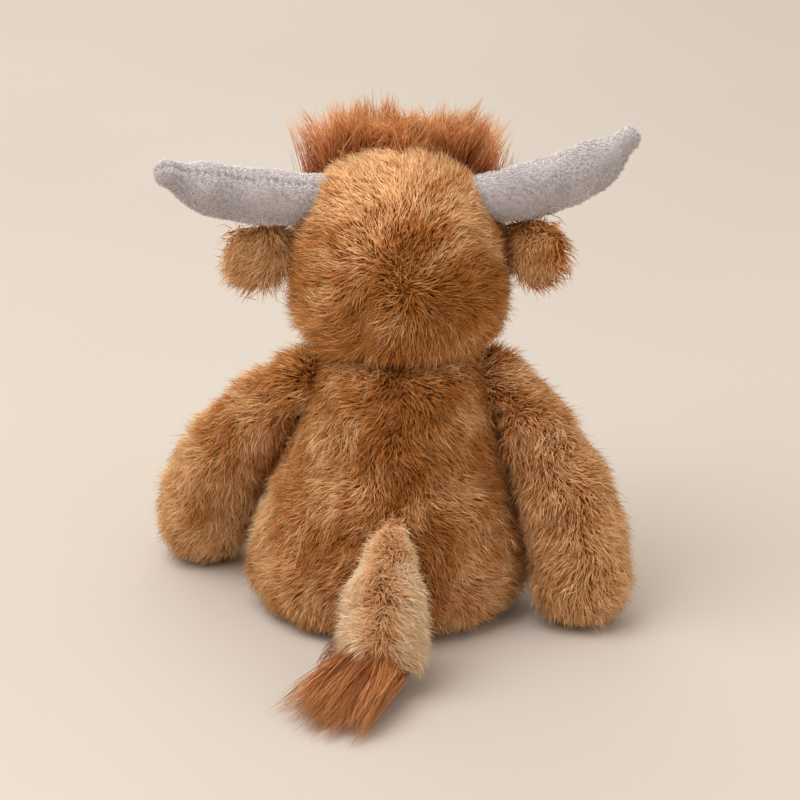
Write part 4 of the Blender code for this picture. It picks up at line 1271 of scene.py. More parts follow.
@dataclass
class Torso(Seamed):
    """The bean-filled body: one stuffed skin, sewn from base, belly and two back panels."""

    form: Turned = Turned(
        shares=(
            (0.0, 0.0), (0.0, 0.40), (0.0, 0.76), (0.015, 0.87), (0.060, 0.95), (0.145, 1.0), (0.28, 0.975),
            (0.40, 0.895), (0.57, 0.765), (0.75, 0.665), (0.88, 0.605), (0.945, 0.51), (0.985, 0.29),
            (1.0, 0.0),
        ),
        width=0.119, depth=0.109, height=0.126, place=(0.0, 0.0, 0.0), lean=-0.0056, round_from=0.100,
    )
    grid: Grid = (96, 112)
    cloth: float = 0.0038
    seam_low: float = 0.054
    seam_pinch: Bell = Bell(0.0008, 0.0028)
    seam_comb: Bell = Bell(0.55, 0.0050)
    seam_trim: Bell = Bell(0.22, 0.0026)
    # Painted shade: how much darker the pile is along the crease of the centre-back seam.
    seam_colour: Bell = Bell(0.20, 0.007)
    base_height: float = 0.0062
    base_share: float = 0.20
    belly_share: float = 0.64
    whorls: tuple[tuple[Point, float], ...] = (
        ((0.009, 0.047, 0.085), 0.011), ((-0.013, 0.045, 0.109), 0.010),
    )
    whorl_strength: float = 2.6
    fan: float = 0.55
    fan_reach: float = 0.020
    under: Rise = Rise(0.15, 0.75)
    growth_by_arms: Rise = Rise(0.040, 0.056, 0.0, 0.30)
    growth_over_floor: Rise = Rise(0.012, 0.024)
    growth_from_seat: Rise = Rise(0.004, 0.012, 0.55, 1.0)
    # Painted light: how much paler the pile is low on the sides.
    pale_sides: Rise = Rise(0.020, 0.050, 0.0, 0.32)
    pale_below: Rise = Rise(0.030, 0.075, 1.0, 0.0)
    depth_of_colour: float = 0.12
    layers: Piles = fur(0.0104, 0.97, 1.35)

    def across(self, places: Array) -> Array:
        """How far each place lies to the left of the form's middle."""
        return places[..., 0] - self.form.middle_x(np.maximum(places[..., 2], 0.0))

    def seam_distance(self, places: Array) -> Array:
        """How far each place lies from the centre-back seam, to the left where positive; far off in front."""
        below = np.maximum(self.seam_low - places[..., 2], 0.0)
        return parted(self.across(places), np.where(places[..., 1] > 0, below, below + FAR))

    def comb(self, sown: Sown) -> Array:
        """Down and out from the centre, away from the seam and the whorls, and outwards under the seat.

        Args:
            sown: The roots.

        Returns:
            The way of the pile at each.
        """
        places = sown.places
        distance = self.seam_distance(places)
        out = self.fan * np.tanh(self.across(places) / self.fan_reach) + self.seam_comb.out(distance)
        ways = out[:, None] * ACROSS - sown.along
        for middle, reach in self.whorls:
            ways = ways + whorled(places, middle, reach, self.whorl_strength)
        under = self.under.at(-sown.normals[:, 2])[:, None]
        return ways * (1 - under) + unit(places * LEVEL) * under

    def trim(self, places: Array) -> Array:
        """Shorter in the seam and under the seat, and longer low on the sides, where it meets the arms.

        Args:
            places: The roots.

        Returns:
            The share of the full length at each.
        """
        seam = 1 - self.seam_trim.at(self.seam_distance(places))
        beside = self.growth_by_arms.at(np.abs(self.across(places)))
        grown = 1 + beside * self.growth_over_floor.at(places[:, 2])
        return seam * grown * self.growth_from_seat.at(places[:, 2])

    def pallor(self, places: Array) -> Array:
        """Painted light that makes the pile paler low on the sides, and painted shade along the centre-back
        seam, on a colour a little deeper all over.
        """
        # pale holds the painted light on the low sides.
        pale = self.pale_sides.at(np.abs(self.across(places))) * self.pale_below.at(places[:, 2])
        return pale - self.depth_of_colour - self.seam_colour.at(self.seam_distance(places))

    def panels(self, roots: Array) -> dict[str, Mask]:
        """Which roots grow on each panel; on the base and the belly only a share of them.

        Args:
            roots: Where fibres stand.

        Returns:
            A mask for each panel.
        """
        base = roots[:, 2] < self.base_height
        drawn = seeded("torso_base").random(len(base))
        front = ~base & (roots[:, 1] < 0)
        left = self.across(roots) > 0
        return {
            "base": base & (drawn < self.base_share),
            "belly": front & (drawn < self.belly_share),
            "back_left": ~base & ~front & left,
            "back_right": ~base & ~front & ~left,
        }

    def build(self) -> None:
        """Makes the skin and the pile."""
        self.cover(("base_panel", "belly_panel", "back_left_panel", "back_right_panel", "filling"), fill=0.75)


@dataclass
class StitchedFace(Part):
    """Nostrils of satin stitches and a mouth of short ones, at heights over the muzzle's bottom."""

    body: str = "head"
    nostril_out: float = 0.0095
    nostril_height: float = 0.0235
    nostril_half_width: float = 0.0032
    nostril_half_height: float = 0.0022
    nostril_tilt: float = 0.0012
    nostril_rows: int = 15
    nostril_thread: float = 0.00028
    least_oval: float = 0.04
    mouth_half_width: float = 0.0150
    mouth_height: float = 0.0095
    mouth_rise: float = 0.0042
    mouth_points: int = 13
    fall_height: float = 0.0185
    fall_points: int = 4
    mouth_thread: float = 0.00038
    nostril_lift: float = 0.0004
    mouth_lift: float = 0.0005
    swell: Pair = (0.0006, 0.0004)

    def build(self, muzzle: Turned) -> None:
        """Stitches side by side across each nostril's oval, and along the mouth and up to the nose.

        Args:
            muzzle: The form whose front they lie on.
        """
        rows = np.linspace(-1, 1, self.nostril_rows)
        level = muzzle.place[2] + self.nostril_height + self.nostril_half_height * rows
        half = self.nostril_half_width * np.sqrt(np.maximum(1 - rows**2, self.least_oval))
        middles = [side.value * (self.nostril_out + self.nostril_tilt * rows) for side in Side]
        starts, ends = (
            np.concatenate([muzzle.front(x + way * half, level, self.nostril_lift) for x in middles])
            for way in (-1, 1)
        )
        turns = np.linspace(-1, 1, self.mouth_points)
        heights = self.mouth_height + self.mouth_rise * turns**2
        line = muzzle.front(self.mouth_half_width * turns, muzzle.place[2] + heights, self.mouth_lift)
        heights = np.linspace(self.fall_height, self.mouth_height, self.fall_points)
        fall = muzzle.front(np.zeros(self.fall_points), muzzle.place[2] + heights, self.mouth_lift)
        mouth = (np.concatenate([line[:-1], fall[:-1]]), np.concatenate([line[1:], fall[1:]]))
        for name, threads, swell, radius in (
            ("nostril_stitches", (starts, ends), self.swell[0], self.nostril_thread),
            ("mouth_stitches", mouth, self.swell[1], self.mouth_thread),
        ):
            mesh = thread_mesh(name, *threads, np.array((0.0, -swell, 0.0)), radius)
            self.publish(mesh, CREAM.slot, "face_thread")


@dataclass(frozen=True)
class Bead:
    """An eye: a rim and a dome of a quarter ellipse, turned on its shank."""

    radius: float = 0.0056
    bulge: float = 0.0042
    rim: float = 0.0008
    edge: Pair = (0.0003, 0.0004)
    shank_radius: float = 0.0019
    shank_depth: float = 0.0094
    stand_off: float = 0.0003
    dome_points: int = 14
    columns: int = 48

    def skin(self, place: Array, normal: Array) -> Skin:
        """The bead at a place on the face.

        Args:
            place: Where its shank goes through the cloth.
            normal: The way that it looks.

        Returns:
            The skin.
        """
        rise = np.linspace(0, math.pi / 2, self.dome_points)
        dome = zip(self.rim + self.bulge * np.sin(rise), self.radius * np.cos(rise))
        profile = [
            (-self.shank_depth, 0.0), (-self.shank_depth, self.shank_radius), (0.0, self.shank_radius),
            (0.0, self.radius - self.edge[1]), (self.edge[0], self.radius), *dome,
        ]
        return lathe(profile, axis_frame(place + normal * self.stand_off, normal), self.columns)


@dataclass
class Head(Seamed):
    """The head: a stuffed skin with a parting at the back, the muzzle and the eyes."""

    form: Turned = Turned(
        shares=(
            (0.0, 0.0), (0.0, 0.38), (0.006, 0.66), (0.040, 0.815), (0.115, 0.91), (0.25, 0.98), (0.42, 1.0),
            (0.60, 0.965), (0.755, 0.865), (0.875, 0.685), (0.955, 0.45), (0.99, 0.22), (1.0, 0.0),
        ),
        width=0.093, depth=0.090, height=0.085, place=(-0.0056, -0.005, 0.1212),
    )
    muzzle: Turned = Turned(
        shares=(
            (0.0, 0.0), (0.012, 0.34), (0.075, 0.70), (0.22, 0.91), (0.42, 1.0), (0.62, 0.97), (0.81, 0.80),
            (0.935, 0.50), (0.985, 0.26), (1.0, 0.0),
        ),
        width=0.060, depth=0.052, height=0.0385, place=(-0.0056, -0.046, 0.127),
    )
    grid: Grid = (84, 104)
    muzzle_grid: Grid = (56, 72)
    cloth: float = 0.0045
    muzzle_cloth: float = 0.0026
    seam_pinch: Bell = Bell(0.0005, 0.0026)
    seam_comb: Bell = Bell(0.3, 0.0042)
    seam_trim: Bell = Bell(0.12, 0.0024)
    face_seam: float = -0.021
    bead: Bead = Bead()
    eye_spread: float = 0.042
    eye_height: float = 0.17203
    slope_step: float = 0.0003
    layers: Piles = fur(0.0102, 0.99, 1.35)
    whorl: Point = (-0.008, 0.040, 0.138)
    parting: Pair = (-0.006, 0.016)
    back_fall: Point = (0.16, 0.0, -0.34)
    front_fall: Point = (0.0, 0.3, 0.10)
    nose_share: float = 0.7
    behind: Rise = Rise(-0.030, 0.006)
    low_growth: Rise = Rise(0.12, 0.42, 0.38, 0.0)
    low_growth_from: float = -0.01
    attached: tuple[tuple[Point, Bell], ...] = (
        ((0.045, -0.006, 0.166), Bell(0.45, 0.011)),
        ((-0.056, -0.006, 0.166), Bell(0.45, 0.011)),
        ((0.035, -0.003, 0.184), Bell(-0.60, 0.015)),
        ((-0.046, -0.003, 0.184), Bell(-0.72, 0.018)),
    )
    eye_trim: Rise = Rise(0.008, 0.020, 0.30, 1.0)
    eye_bare: float = 0.0062
    muzzle_middle_share: float = 0.48
    muzzle_rim: float = 0.003
    cheek_trim: Rise = Rise(1.0, 1.7, 0.45, 1.0)
    cheeks_from: float = -0.02
    # Painted light and shade by height: paler towards the crown, darker low on the head.
    crown_pallor: Rise = Rise(0.30, 0.95, -0.20, 0.36)
    muzzle_back: float = -0.040
    nose_tip_share: float = 0.55
    short_pile: Pile = Pile(
        length=0.0034, density=1.25, lean=48, root_radius=0.0002, waist_radius=0.00015, tuft_size=6,
        tuft_spread=0.0009,
    )

    def eye_places(self) -> tuple[Array, Array]:
        """Where each eye sits on the solid's surface, and the normals there, left first.

        Returns:
            The places, and normals from the surface's slopes across and up.
        """
        x = np.array([side.value * self.eye_spread / 2 for side in Side])
        z = np.full(2, self.eye_height)
        step = self.slope_step
        slope_x, slope_z = (
            (self.form.front(x + dx, z + dz) - self.form.front(x - dx, z - dz))[:, 1] / (2 * step)
            for dx, dz in ((step, 0.0), (0.0, step))
        )
        return self.form.front(x, z), unit(np.stack([slope_x, -np.ones(2), slope_z], axis=-1))

    def seam_distance(self, places: Array) -> Array:
        """How far each place lies across from the centre-back seam, and far off before the face seam."""
        gap = np.where(places[..., 1] > self.face_seam, 0.0, FAR)
        return parted(places[..., 0] - self.form.place[0], gap)

    def share_up(self, places: Array) -> Array:
        """How high each place lies, as a share of the form's height."""
        return (places[:, 2] - self.form.place[2]) / self.form.height

    def comb(self, sown: Sown) -> Array:
        """Away from the parting at the back and from the muzzle in front, with a little weight downwards.

        Args:
            sown: The roots.

        Returns:
            The way of the pile at each.
        """
        places = sown.places
        parting = np.tile(self.whorl, (len(places), 1))
        parting[:, 2] = np.clip(places[:, 2], *(self.whorl[2] + end for end in self.parting))
        back = unit(places - parting) + self.back_fall
        nose = np.array(self.muzzle.place) + UP * (self.muzzle.height * self.nose_share)
        front = unit(places - nose) + self.front_fall
        share = self.behind.at(places[:, 1])[:, None]
        seam = self.seam_comb.out(self.seam_distance(places))
        return back * share + front * (1 - share) + seam[:, None] * ACROSS

    def trim(self, places: Array) -> Array:
        """Shorter in the seam and round the eyes, and bare under the eyes and the muzzle.

        Args:
            places: The roots.

        Returns:
            The share of the full length at each.
        """
        length = 1 - self.seam_trim.at(self.seam_distance(places))
        length *= 1 + self.low_growth.at(self.share_up(places)) * (places[:, 1] > self.low_growth_from)
        for root, growth in self.attached:
            length *= 1 + growth.at(away(places, root))
        for eye in self.eye_places()[0]:
            gap = away(places, eye)
            length *= self.eye_trim.at(gap) * (gap > self.eye_bare)
        middle = np.array(self.muzzle.place) + UP * (self.muzzle.height * self.muzzle_middle_share)
        size = np.array((self.muzzle.width, self.muzzle.depth, self.muzzle.height)) / 2 - self.muzzle_rim
        reach = np.linalg.norm((places - middle) / size, axis=1)
        cheeks = np.where(places[:, 1] < self.cheeks_from, self.cheek_trim.at(reach), 1.0)
        return length * cheeks * (reach > 1.0)

    def pallor(self, places: Array) -> Array:
        """Painted light that makes the crown palest, and painted shade that makes the head darker low down.
        """
        return self.crown_pallor.at(self.share_up(places))

    def panels(self, roots: Array) -> dict[str, Mask]:
        """Which roots grow on the face and on each half of the back."""
        face, left = roots[:, 1] < self.face_seam, roots[:, 0] > self.form.place[0]
        return {"face": face, "back_left": ~face & left, "back_right": ~face & ~left}

    def build_muzzle(self) -> None:
        """The muzzle's skin, and its short pile, which runs back and out from the nose."""
        form = self.muzzle
        skin = form.skin(*self.muzzle_grid, self.muzzle_cloth)
        self.stuff(skin, CREAM, ("cover", "filling"), fill=0.8, name="muzzle")
        nose = np.array(form.place) + np.array((0.0, -form.depth, form.height)) * self.nose_tip_share
        panels = lambda roots: {"": roots[:, 1] < self.muzzle_back}
        grain = Grain(lambda sown: sown.places - nose, panels=panels)
        self.grow((self.short_pile,), skin, CREAM, grain, "muzzle")

    def build(self) -> None:
        """Makes the skin and its pile, the muzzle with its stitches, and the eyes."""
        self.cover(("face_panel", "back_left_panel", "back_right_panel", "filling"), fill=0.85)
        self.build_muzzle()
        StitchedFace(self.finishes).build(self.muzzle)
        for side, place, normal in zip(Side, *self.eye_places()):
            name = f"eye_{side.label}"
            mesh = self.bead.skin(place, normal).mesh(f"{name}_bead")
            self.publish(mesh, "black_bead", "black_bead_gloss", [name])


@dataclass(frozen=True)
class Locks:
    """Long hair in locks: fibres on Bezier paths that gather towards their lock's tip."""

    hairs: int
    spread: float
    gather: float
    wave: float
    steps: int = 5
    radius: float = 0.00017
    tip_share: float = 0.6
    lengths: Pair = (0.62, 1.06)
    widths: Pair = (0.75, 1.25)
    curl: float = 7.0
    floor_play: float = 0.0012
    patch_seed: int = 5
    patch_wave: float = 0.02

    def mesh(self, name: str, roots: Array, bends: Array, tips: Array) -> Mesh:
        """The hair of every lock in one mesh.

        Args:
            name: The mesh's name.
            roots: Where each lock starts.
            bends: The middle control point of each lock's path.
            tips: Where each lock ends.

        Returns:
            The mesh: a hair is its lock's path cut to its own length, plus an offset that shrinks
            towards the tip and a wave that grows.
        """
        source = seeded(name)
        each = (len(roots), self.hairs, 1)
        t = np.linspace(0, 1, self.steps)[:, None] * source.uniform(*self.lengths, (*each, 1))
        start, bend, end = (points[:, None, None] for points in (roots, bends, tips))
        path = start * (1 - t) ** 2 + bend * 2 * t * (1 - t) + end * t**2
        offset = source.normal(0, self.spread, (*each, 3)) * (1 - self.gather * t)
        sway = source.normal(0, self.wave, (*each, 3))
        phase = source.uniform(0, math.tau, (*each, 1))
        spines = (path + offset + sway * t * np.sin(phase + self.curl * t)).reshape(-1, self.steps, 3)
        total = len(spines)
        low = FLOOR_CLEAR + source.uniform(0, self.floor_play, (total, 1))
        spines[..., 2] = np.maximum(spines[..., 2], low)
        tones = (np.repeat(source.random(len(roots)), self.hairs) + source.random(total)) / 2
        patches = np.clip((1 + Drift(self.patch_seed, self.patch_wave).at(spines[:, 0])) / 2, 0, 1)
        taper = np.linspace(1.0, self.tip_share, self.steps)[None] * self.radius
        return fibre_mesh(name, spines, taper * source.uniform(*self.widths, (total, 1)), tones, patches)


@dataclass
class Forelock(Part):
    """The mop between the horns: it stands up in two mounds and falls over the forehead."""

    body: str = "head"
    middle: Point = (-0.0072, -0.027, 0.179)
    half_width: float = 0.038
    half_depth: float = 0.019
    top: float = 0.2240
    count: int = 240
    sink: float = 0.005
    side_falls: Pair = (0.08, 0.30)
    dip: Bell = Bell(0.24, 0.17)
    dip_place: float = -0.11
    heights: Pair = (0.72, 1.03)
    fringe: Rise = Rise(-0.05, -0.75)
    fringe_fall: float = 0.45
    leans: Pair = (0.0080, 0.007)
    lean_left: float = -0.0020
    fringe_lean: float = 0.020
    strays: Pair = (0.0062, 0.0036)
    drops: Pair = (0.008, 0.022)
    bend_shares: tuple[float, float, float] = (0.2, 0.25, 0.55)
    bend_stray: float = 0.0022
    locks: Locks = Locks(hairs=29, spread=0.0029, gather=0.38, wave=0.0011)

    def build(self, crown: Turned) -> None:
        """Locks from an oval on the crown, whose tips lie on the two mounds or hang in front.

        Args:
            crown: The head's form, which carries the roots.
        """
        source = seeded("forelock_layout")
        count = self.count
        angle = source.uniform(0, math.tau, count)
        reach = np.sqrt(source.random(count))
        across, back = reach * np.cos(angle), reach * np.sin(angle)
        x = self.middle[0] + self.half_width * across
        y = self.middle[1] + self.half_depth * back
        roots = np.stack([x, y, crown.top(x, y) - self.sink], axis=-1)
        sides = np.where(across > 0, *self.side_falls) * np.abs(across) ** 3
        mound = 1 - self.dip.at(across - self.dip_place) - sides
        fringe = self.fringe.at(back)
        height = (self.top - roots[:, 2]) * mound * source.uniform(*self.heights, count)
        height *= 1 - self.fringe_fall * fringe
        lean_x = across * self.leans[0] + self.lean_left + source.normal(0, self.strays[0], count)
        lean_y = back * self.leans[1] - fringe * self.fringe_lean + source.normal(0, self.strays[1], count)
        drop = fringe * source.uniform(*self.drops, count)
        stray = source.normal(0, self.bend_stray, count)
        share_x, share_y, share_z = self.bend_shares
        rise = height * (share_z + (1 - share_z) * fringe)
        bends = roots + np.stack([lean_x * share_x + stray, lean_y * share_y, rise], axis=-1)
        tips = roots + np.stack([lean_x, lean_y, height - drop], axis=-1)
        mesh = self.locks.mesh("forelock_hair", roots, bends, tips)
        self.publish(mesh, HAIR.slot, HAIR.fibres, ["forelock"])


@dataclass
class Horn(Sided):
    """A velour horn: two panels sewn along the top and the underside, with short pile."""

    root: Point
    droop: float
    roll: float
    limb: Limb = Limb(
        start=np.array((-0.014, 0.0, 0.0)), bend=np.array((0.0345, 0.0, 0.004)),
        end=np.array((0.055, 0.0, 0.0265)), radii=(0.010, 0.0122, 0.0116, 0.006), end_length=0.006,
    )
    grid: Grid = (84, 64)
    cloth: float = 0.0007
    groove: Bell = Bell(0.0010, 0.0009)
    pucker: Bell = Bell(0.00042, 0.0034)
    pucker_length: float = 0.0034
    lump: float = 0.0005
    lump_seed: int = 31
    lump_wave: float = 0.016
    velour: Pile = Pile(
        length=0.0014, density=4.0, lean=26, steps=2, tuft_size=4, tuft_spread=0.00040, sink=0.0003,
        tuft_pull=0.4, swirl=0.9,
    )
    stitch_rows: tuple[int, int, int] = (14, -10, 4)
    stitch_half: int = 2
    stitch_lift: float = 0.0002
    stitch_radius: float = 0.00022

    def skin(self) -> Skin:
        """The tube with a puckered groove on top and below, and shallow lumps from its stuffing.

        Returns:
            The skin: the tube moved along its normals by bells about the seams and a slow drift.
        """
        plain = self.limb.thinner(self.cloth).skin(*self.grid)
        rows, columns = plain.points.shape[:2]
        middles = plain.points.mean(axis=1)
        radius = away(plain.points, middles[:, None])
        to_seam = np.abs((ring_angles(columns) + math.pi) % math.pi - math.pi / 2)[None] * radius
        steps = np.linalg.norm(np.diff(middles, axis=0), axis=1)
        run = np.concatenate([[0.0], np.cumsum(steps)])[:, None]
        puckers = self.pucker.at(to_seam) * np.sin(math.tau * run / self.pucker_length)
        drift = Drift(self.lump_seed + self.side.value, self.lump_wave)
        lumps = self.lump * drift.at(plain.points.reshape(-1, 3)).reshape(rows, columns)
        return plain.pushed(puckers + lumps - self.groove.at(to_seam))

    def stitches(self, skin: Skin) -> Mesh:
        """Light threads that cross the groove, one in each pucker, on the top seam and the underside.

        Args:
            skin: The horn's skin in the toy's frame.

        Returns:
            The mesh.
        """
        first, last, step = self.stitch_rows
        rows, columns = skin.points.shape[:2]
        row = np.tile(np.arange(first, rows + last, step), 2)
        column = np.repeat((columns // 4, 3 * columns // 4), len(row) // 2)
        starts = skin.points[row, column - self.stitch_half]
        ends = skin.points[row + 1, column + self.stitch_half]
        lift = skin.normals()[row, column] * self.stitch_lift
        return thread_mesh(f"{self.body}_stitches", starts, ends, lift, self.stitch_radius)

    def build(self) -> None:
        """Makes the skin, its velour and its stitches."""
        skin = self.skin().moved(side_frame(self.root, self.side, ("Y", self.droop), ("X", -self.roll)))
        self.stuff(skin, VELOUR, ("back_panel", "front_panel", "filling"), fill=0.85)
        coat = self.velour.coat(skin, self.body, Grain(lambda sown: sown.along))
        self.publish(coat.mesh(f"{self.body}_velour"), VELOUR.slot, VELOUR.fibres)
        self.publish(self.stitches(skin), VELOUR.slot, "stitch_thread")


@dataclass
class Ear(Sided):
    """A leaf-shaped ear: long pile on its back, short dark pile inside.

    The stations are places along it with the widths and thicknesses there, as shares.
    """

    root: Point
    droop: float
    back: float
    pallor: float
    length: float = 0.0275
    width: float = 0.028
    thickness: float = 0.009
    cloth: float = 0.0028
    stations: Profile = (
        (-0.125, 0.0, 0.0), (-0.0875, 0.426, 0.71), (0.0, 0.60, 1.0), (0.25, 0.81, 1.0), (0.52, 1.0, 0.95),
        (0.76, 0.86, 0.84), (0.93, 0.50, 0.60), (1.0, 0.0, 0.0),
    )
    station_steps: int = 8
    columns: int = 56
    rim: float = 0.0007
    outward: Rise = Rise(0.002, 0.013, -0.7, 1.0)
    weight: Point = (0.0, 0.0, -0.75)
    layers: Piles = fur(0.0108, 2.1, 3.0, lean=58)
    lining: Pile = Pile(length=0.0028, density=2.6, lean=64, tuft_spread=0.0012)

    def skin(self) -> Skin:
        """Oval rings out along local X, under the cloth: widths and thicknesses follow smooth stations.

        Returns:
            The skin.
        """
        stations = profile_curve(self.stations, self.station_steps).T
        along, wide, thick = (column[:, None] for column in stations)
        angles = ring_angles(self.columns)
        half = (self.width / 2 - self.cloth) * np.maximum(wide, 0) * np.cos(angles)
        deep = (self.thickness / 2 - self.cloth) * np.maximum(thick, 0) * np.sin(angles)
        x = np.broadcast_to(along * (self.length - self.cloth), half.shape)
        return Skin(np.stack([x, deep, half], axis=-1))

    def build(self) -> None:
        """Makes the skin and the pile of its two faces."""
        matrix = side_frame(self.root, self.side, ("Y", self.droop), ("Z", self.back))
        skin = self.skin().moved(matrix)
        self.stuff(skin, PLUSH, ("back", "lining"), fill=0.3)

        def comb(sown: Sown) -> Array:
            """Down and out to the tip, but back over the root, where it meets the head's pile."""
            return sown.along * self.outward.at(away(sown.places, self.root))[:, None] + self.weight

        def outer(roots: Array) -> Mask:
            """Which roots lie behind the rim."""
            return (roots - self.root) @ matrix[:3, 1] > -self.rim

        def pallor(places: Array) -> Array:
            """The ear's pallor, the same all over it."""
            return np.full(len(places), self.pallor)

        long = Grain(comb, pallor=pallor, panels=lambda roots: {"back": outer(roots)})
        self.grow(self.layers, skin, PLUSH, long)
        short = Grain(comb, panels=lambda roots: {"": ~outer(roots)})
        self.grow((self.lining,), skin, LINING, short, f"{self.body}_lining")


@dataclass
class Arm(Sided):
    """An arm that hangs from the shoulder, flattened where it lies against the torso."""

    paw_gap: float
    paw_forward: float
    whorl: Point
    shoulder_height: float = 0.106
    stand_off: float = 0.0028
    radii: tuple[float, ...] = (0.013, 0.017, 0.0208, 0.0215)
    sink: float = 0.0005
    bow: float = 0.0165
    tilt: float = 24.0
    clearance: float = 0.0018
    cloth: float = 0.0045
    forward_reach: float = 82.0
    back_reach: float = 40.0
    torso_grid: Grid = (140, 160)
    level_step: float = 0.002
    grid: Grid = (64, 64)
    whorl_reach: float = 0.013
    whorl_strength: float = 0.9
    weight: Point = (0.0, 0.0, -0.25)
    shoulder_out: float = 0.035
    shoulder: Bell = Bell(1.0, 0.024)
    shoulder_ways: Point = (1.6, -0.1, -0.35)
    # Painted light: the pile is paler the farther out it lies.
    outer_pallor: Rise = Rise(0.045, 0.090, 0.02, 0.38)
    layers: Piles = fur(0.0112, 0.90, 1.3)

    def outward(self) -> Array:
        """The way from the torso along the swing's axis."""
        tilt = math.radians(self.tilt)
        return np.array((self.side.value * math.cos(tilt), 0.0, math.sin(tilt)))

    def limb(self, form: Turned) -> Limb:
        """The arm's tube: from the shoulder by the torso, bowed outwards, to the paw on the floor.

        Args:
            form: The torso's form, whose width places shoulder and paw.

        Returns:
            The tube.
        """
        sign, radius = self.side.value, self.radii[-1]
        out = sign * (form.half_width(self.shoulder_height) + self.stand_off)
        shoulder = np.array((form.lean + out, 0.0, self.shoulder_height))
        out = sign * (form.width / 2 + radius + self.paw_gap)
        paw = np.array((form.middle_x(radius) + out, -self.paw_forward, radius - self.sink))
        bend = (shoulder + paw) / 2 + self.outward() * self.bow
        return Limb(shoulder, bend, paw, self.radii, radius)

    def pressed(self, skin: Skin, limb: Limb, form: Turned) -> Skin:
        """The arm's grid, with what the torso would meet in a swing moved out along the axis.

        The torso's farthest reach along the axis is found at each distance from it, over the whole
        swing, and each point of the arm is brought out to that reach plus a clearance.

        Args:
            skin: The arm's grid.
            limb: The arm's tube.
            form: The torso's form.

        Returns:
            The pressed grid.
        """
        outward = self.outward()
        down = np.cross(outward, (0.0, 1.0, 0.0))
        down = down * -np.sign(down[2])

        def measured(points: Array) -> tuple[Array, Array, Array]:
            """Distance along the axis, distance from it, and the angle forwards from straight down."""
            gap = points - limb.start
            return gap @ outward, np.hypot(gap @ down, gap[..., 1]), np.arctan2(-gap[..., 1], gap @ down)

        along, off, angles = measured(form.skin(*self.torso_grid).points.reshape(-1, 3))
        levels = np.arange(0.0, form.height, self.level_step)
        breadth = np.arcsin(self.radii[-1] / np.maximum(off, self.radii[-1]))
        passed = angles < math.radians(self.forward_reach) + breadth
        passed &= angles > -math.radians(self.back_reach) - breadth
        slot = np.clip((off / self.level_step).astype(int), 0, len(levels) - 1)
        reach = np.full(len(levels), -FAR)
        np.maximum.at(reach, slot[passed], along[passed])
        reach = np.maximum.reduce([reach, np.roll(reach, 1), np.roll(reach, -1)])
        mine, off, _ = measured(skin.points)
        lowest = np.interp(off, levels, reach) + self.clearance + self.cloth
        push = np.where(off > self.radii[0], np.maximum(lowest - mine, 0.0), 0.0)
        return Skin(skin.points + push[..., None] * outward)

    def comb(self, sown: Sown) -> Array:
        """Down the arm, parted round the whorl on its back, and straight out over the shoulder.

        Args:
            sown: The roots.

        Returns:
            The way of the pile at each.
        """
        ways = whorled(sown.places, self.whorl, self.whorl_reach, self.whorl_strength)
        ways = ways + sown.along + self.weight
        top = (self.side.value * self.shoulder_out, 0.0, self.shoulder_height)
        near = self.shoulder.at(away(sown.places, top))[:, None]
        return ways * (1 - near) + np.array(self.shoulder_ways) * (self.side.value, 1, 1) * near

    def build(self, form: Turned) -> None:
        """Makes the skin and its pile, with painted light that makes the pile paler outwards and towards the
        paw.

        Args:
            form: The form of the torso that the arm lies against.
        """
        limb = self.limb(form)
        skin = self.pressed(limb.thinner(self.cloth).skin(*self.grid), limb, form)
        for pole in (0, -1):
            skin.points[pole] = skin.points[pole].mean(axis=0)
        self.stuff(skin, PLUSH, ("cover", "filling"), fill=0.75)
        grain = Grain(self.comb, pallor=lambda places: self.outer_pallor.at(np.abs(places[:, 0])))
        self.grow(self.layers, skin, PLUSH, grain)


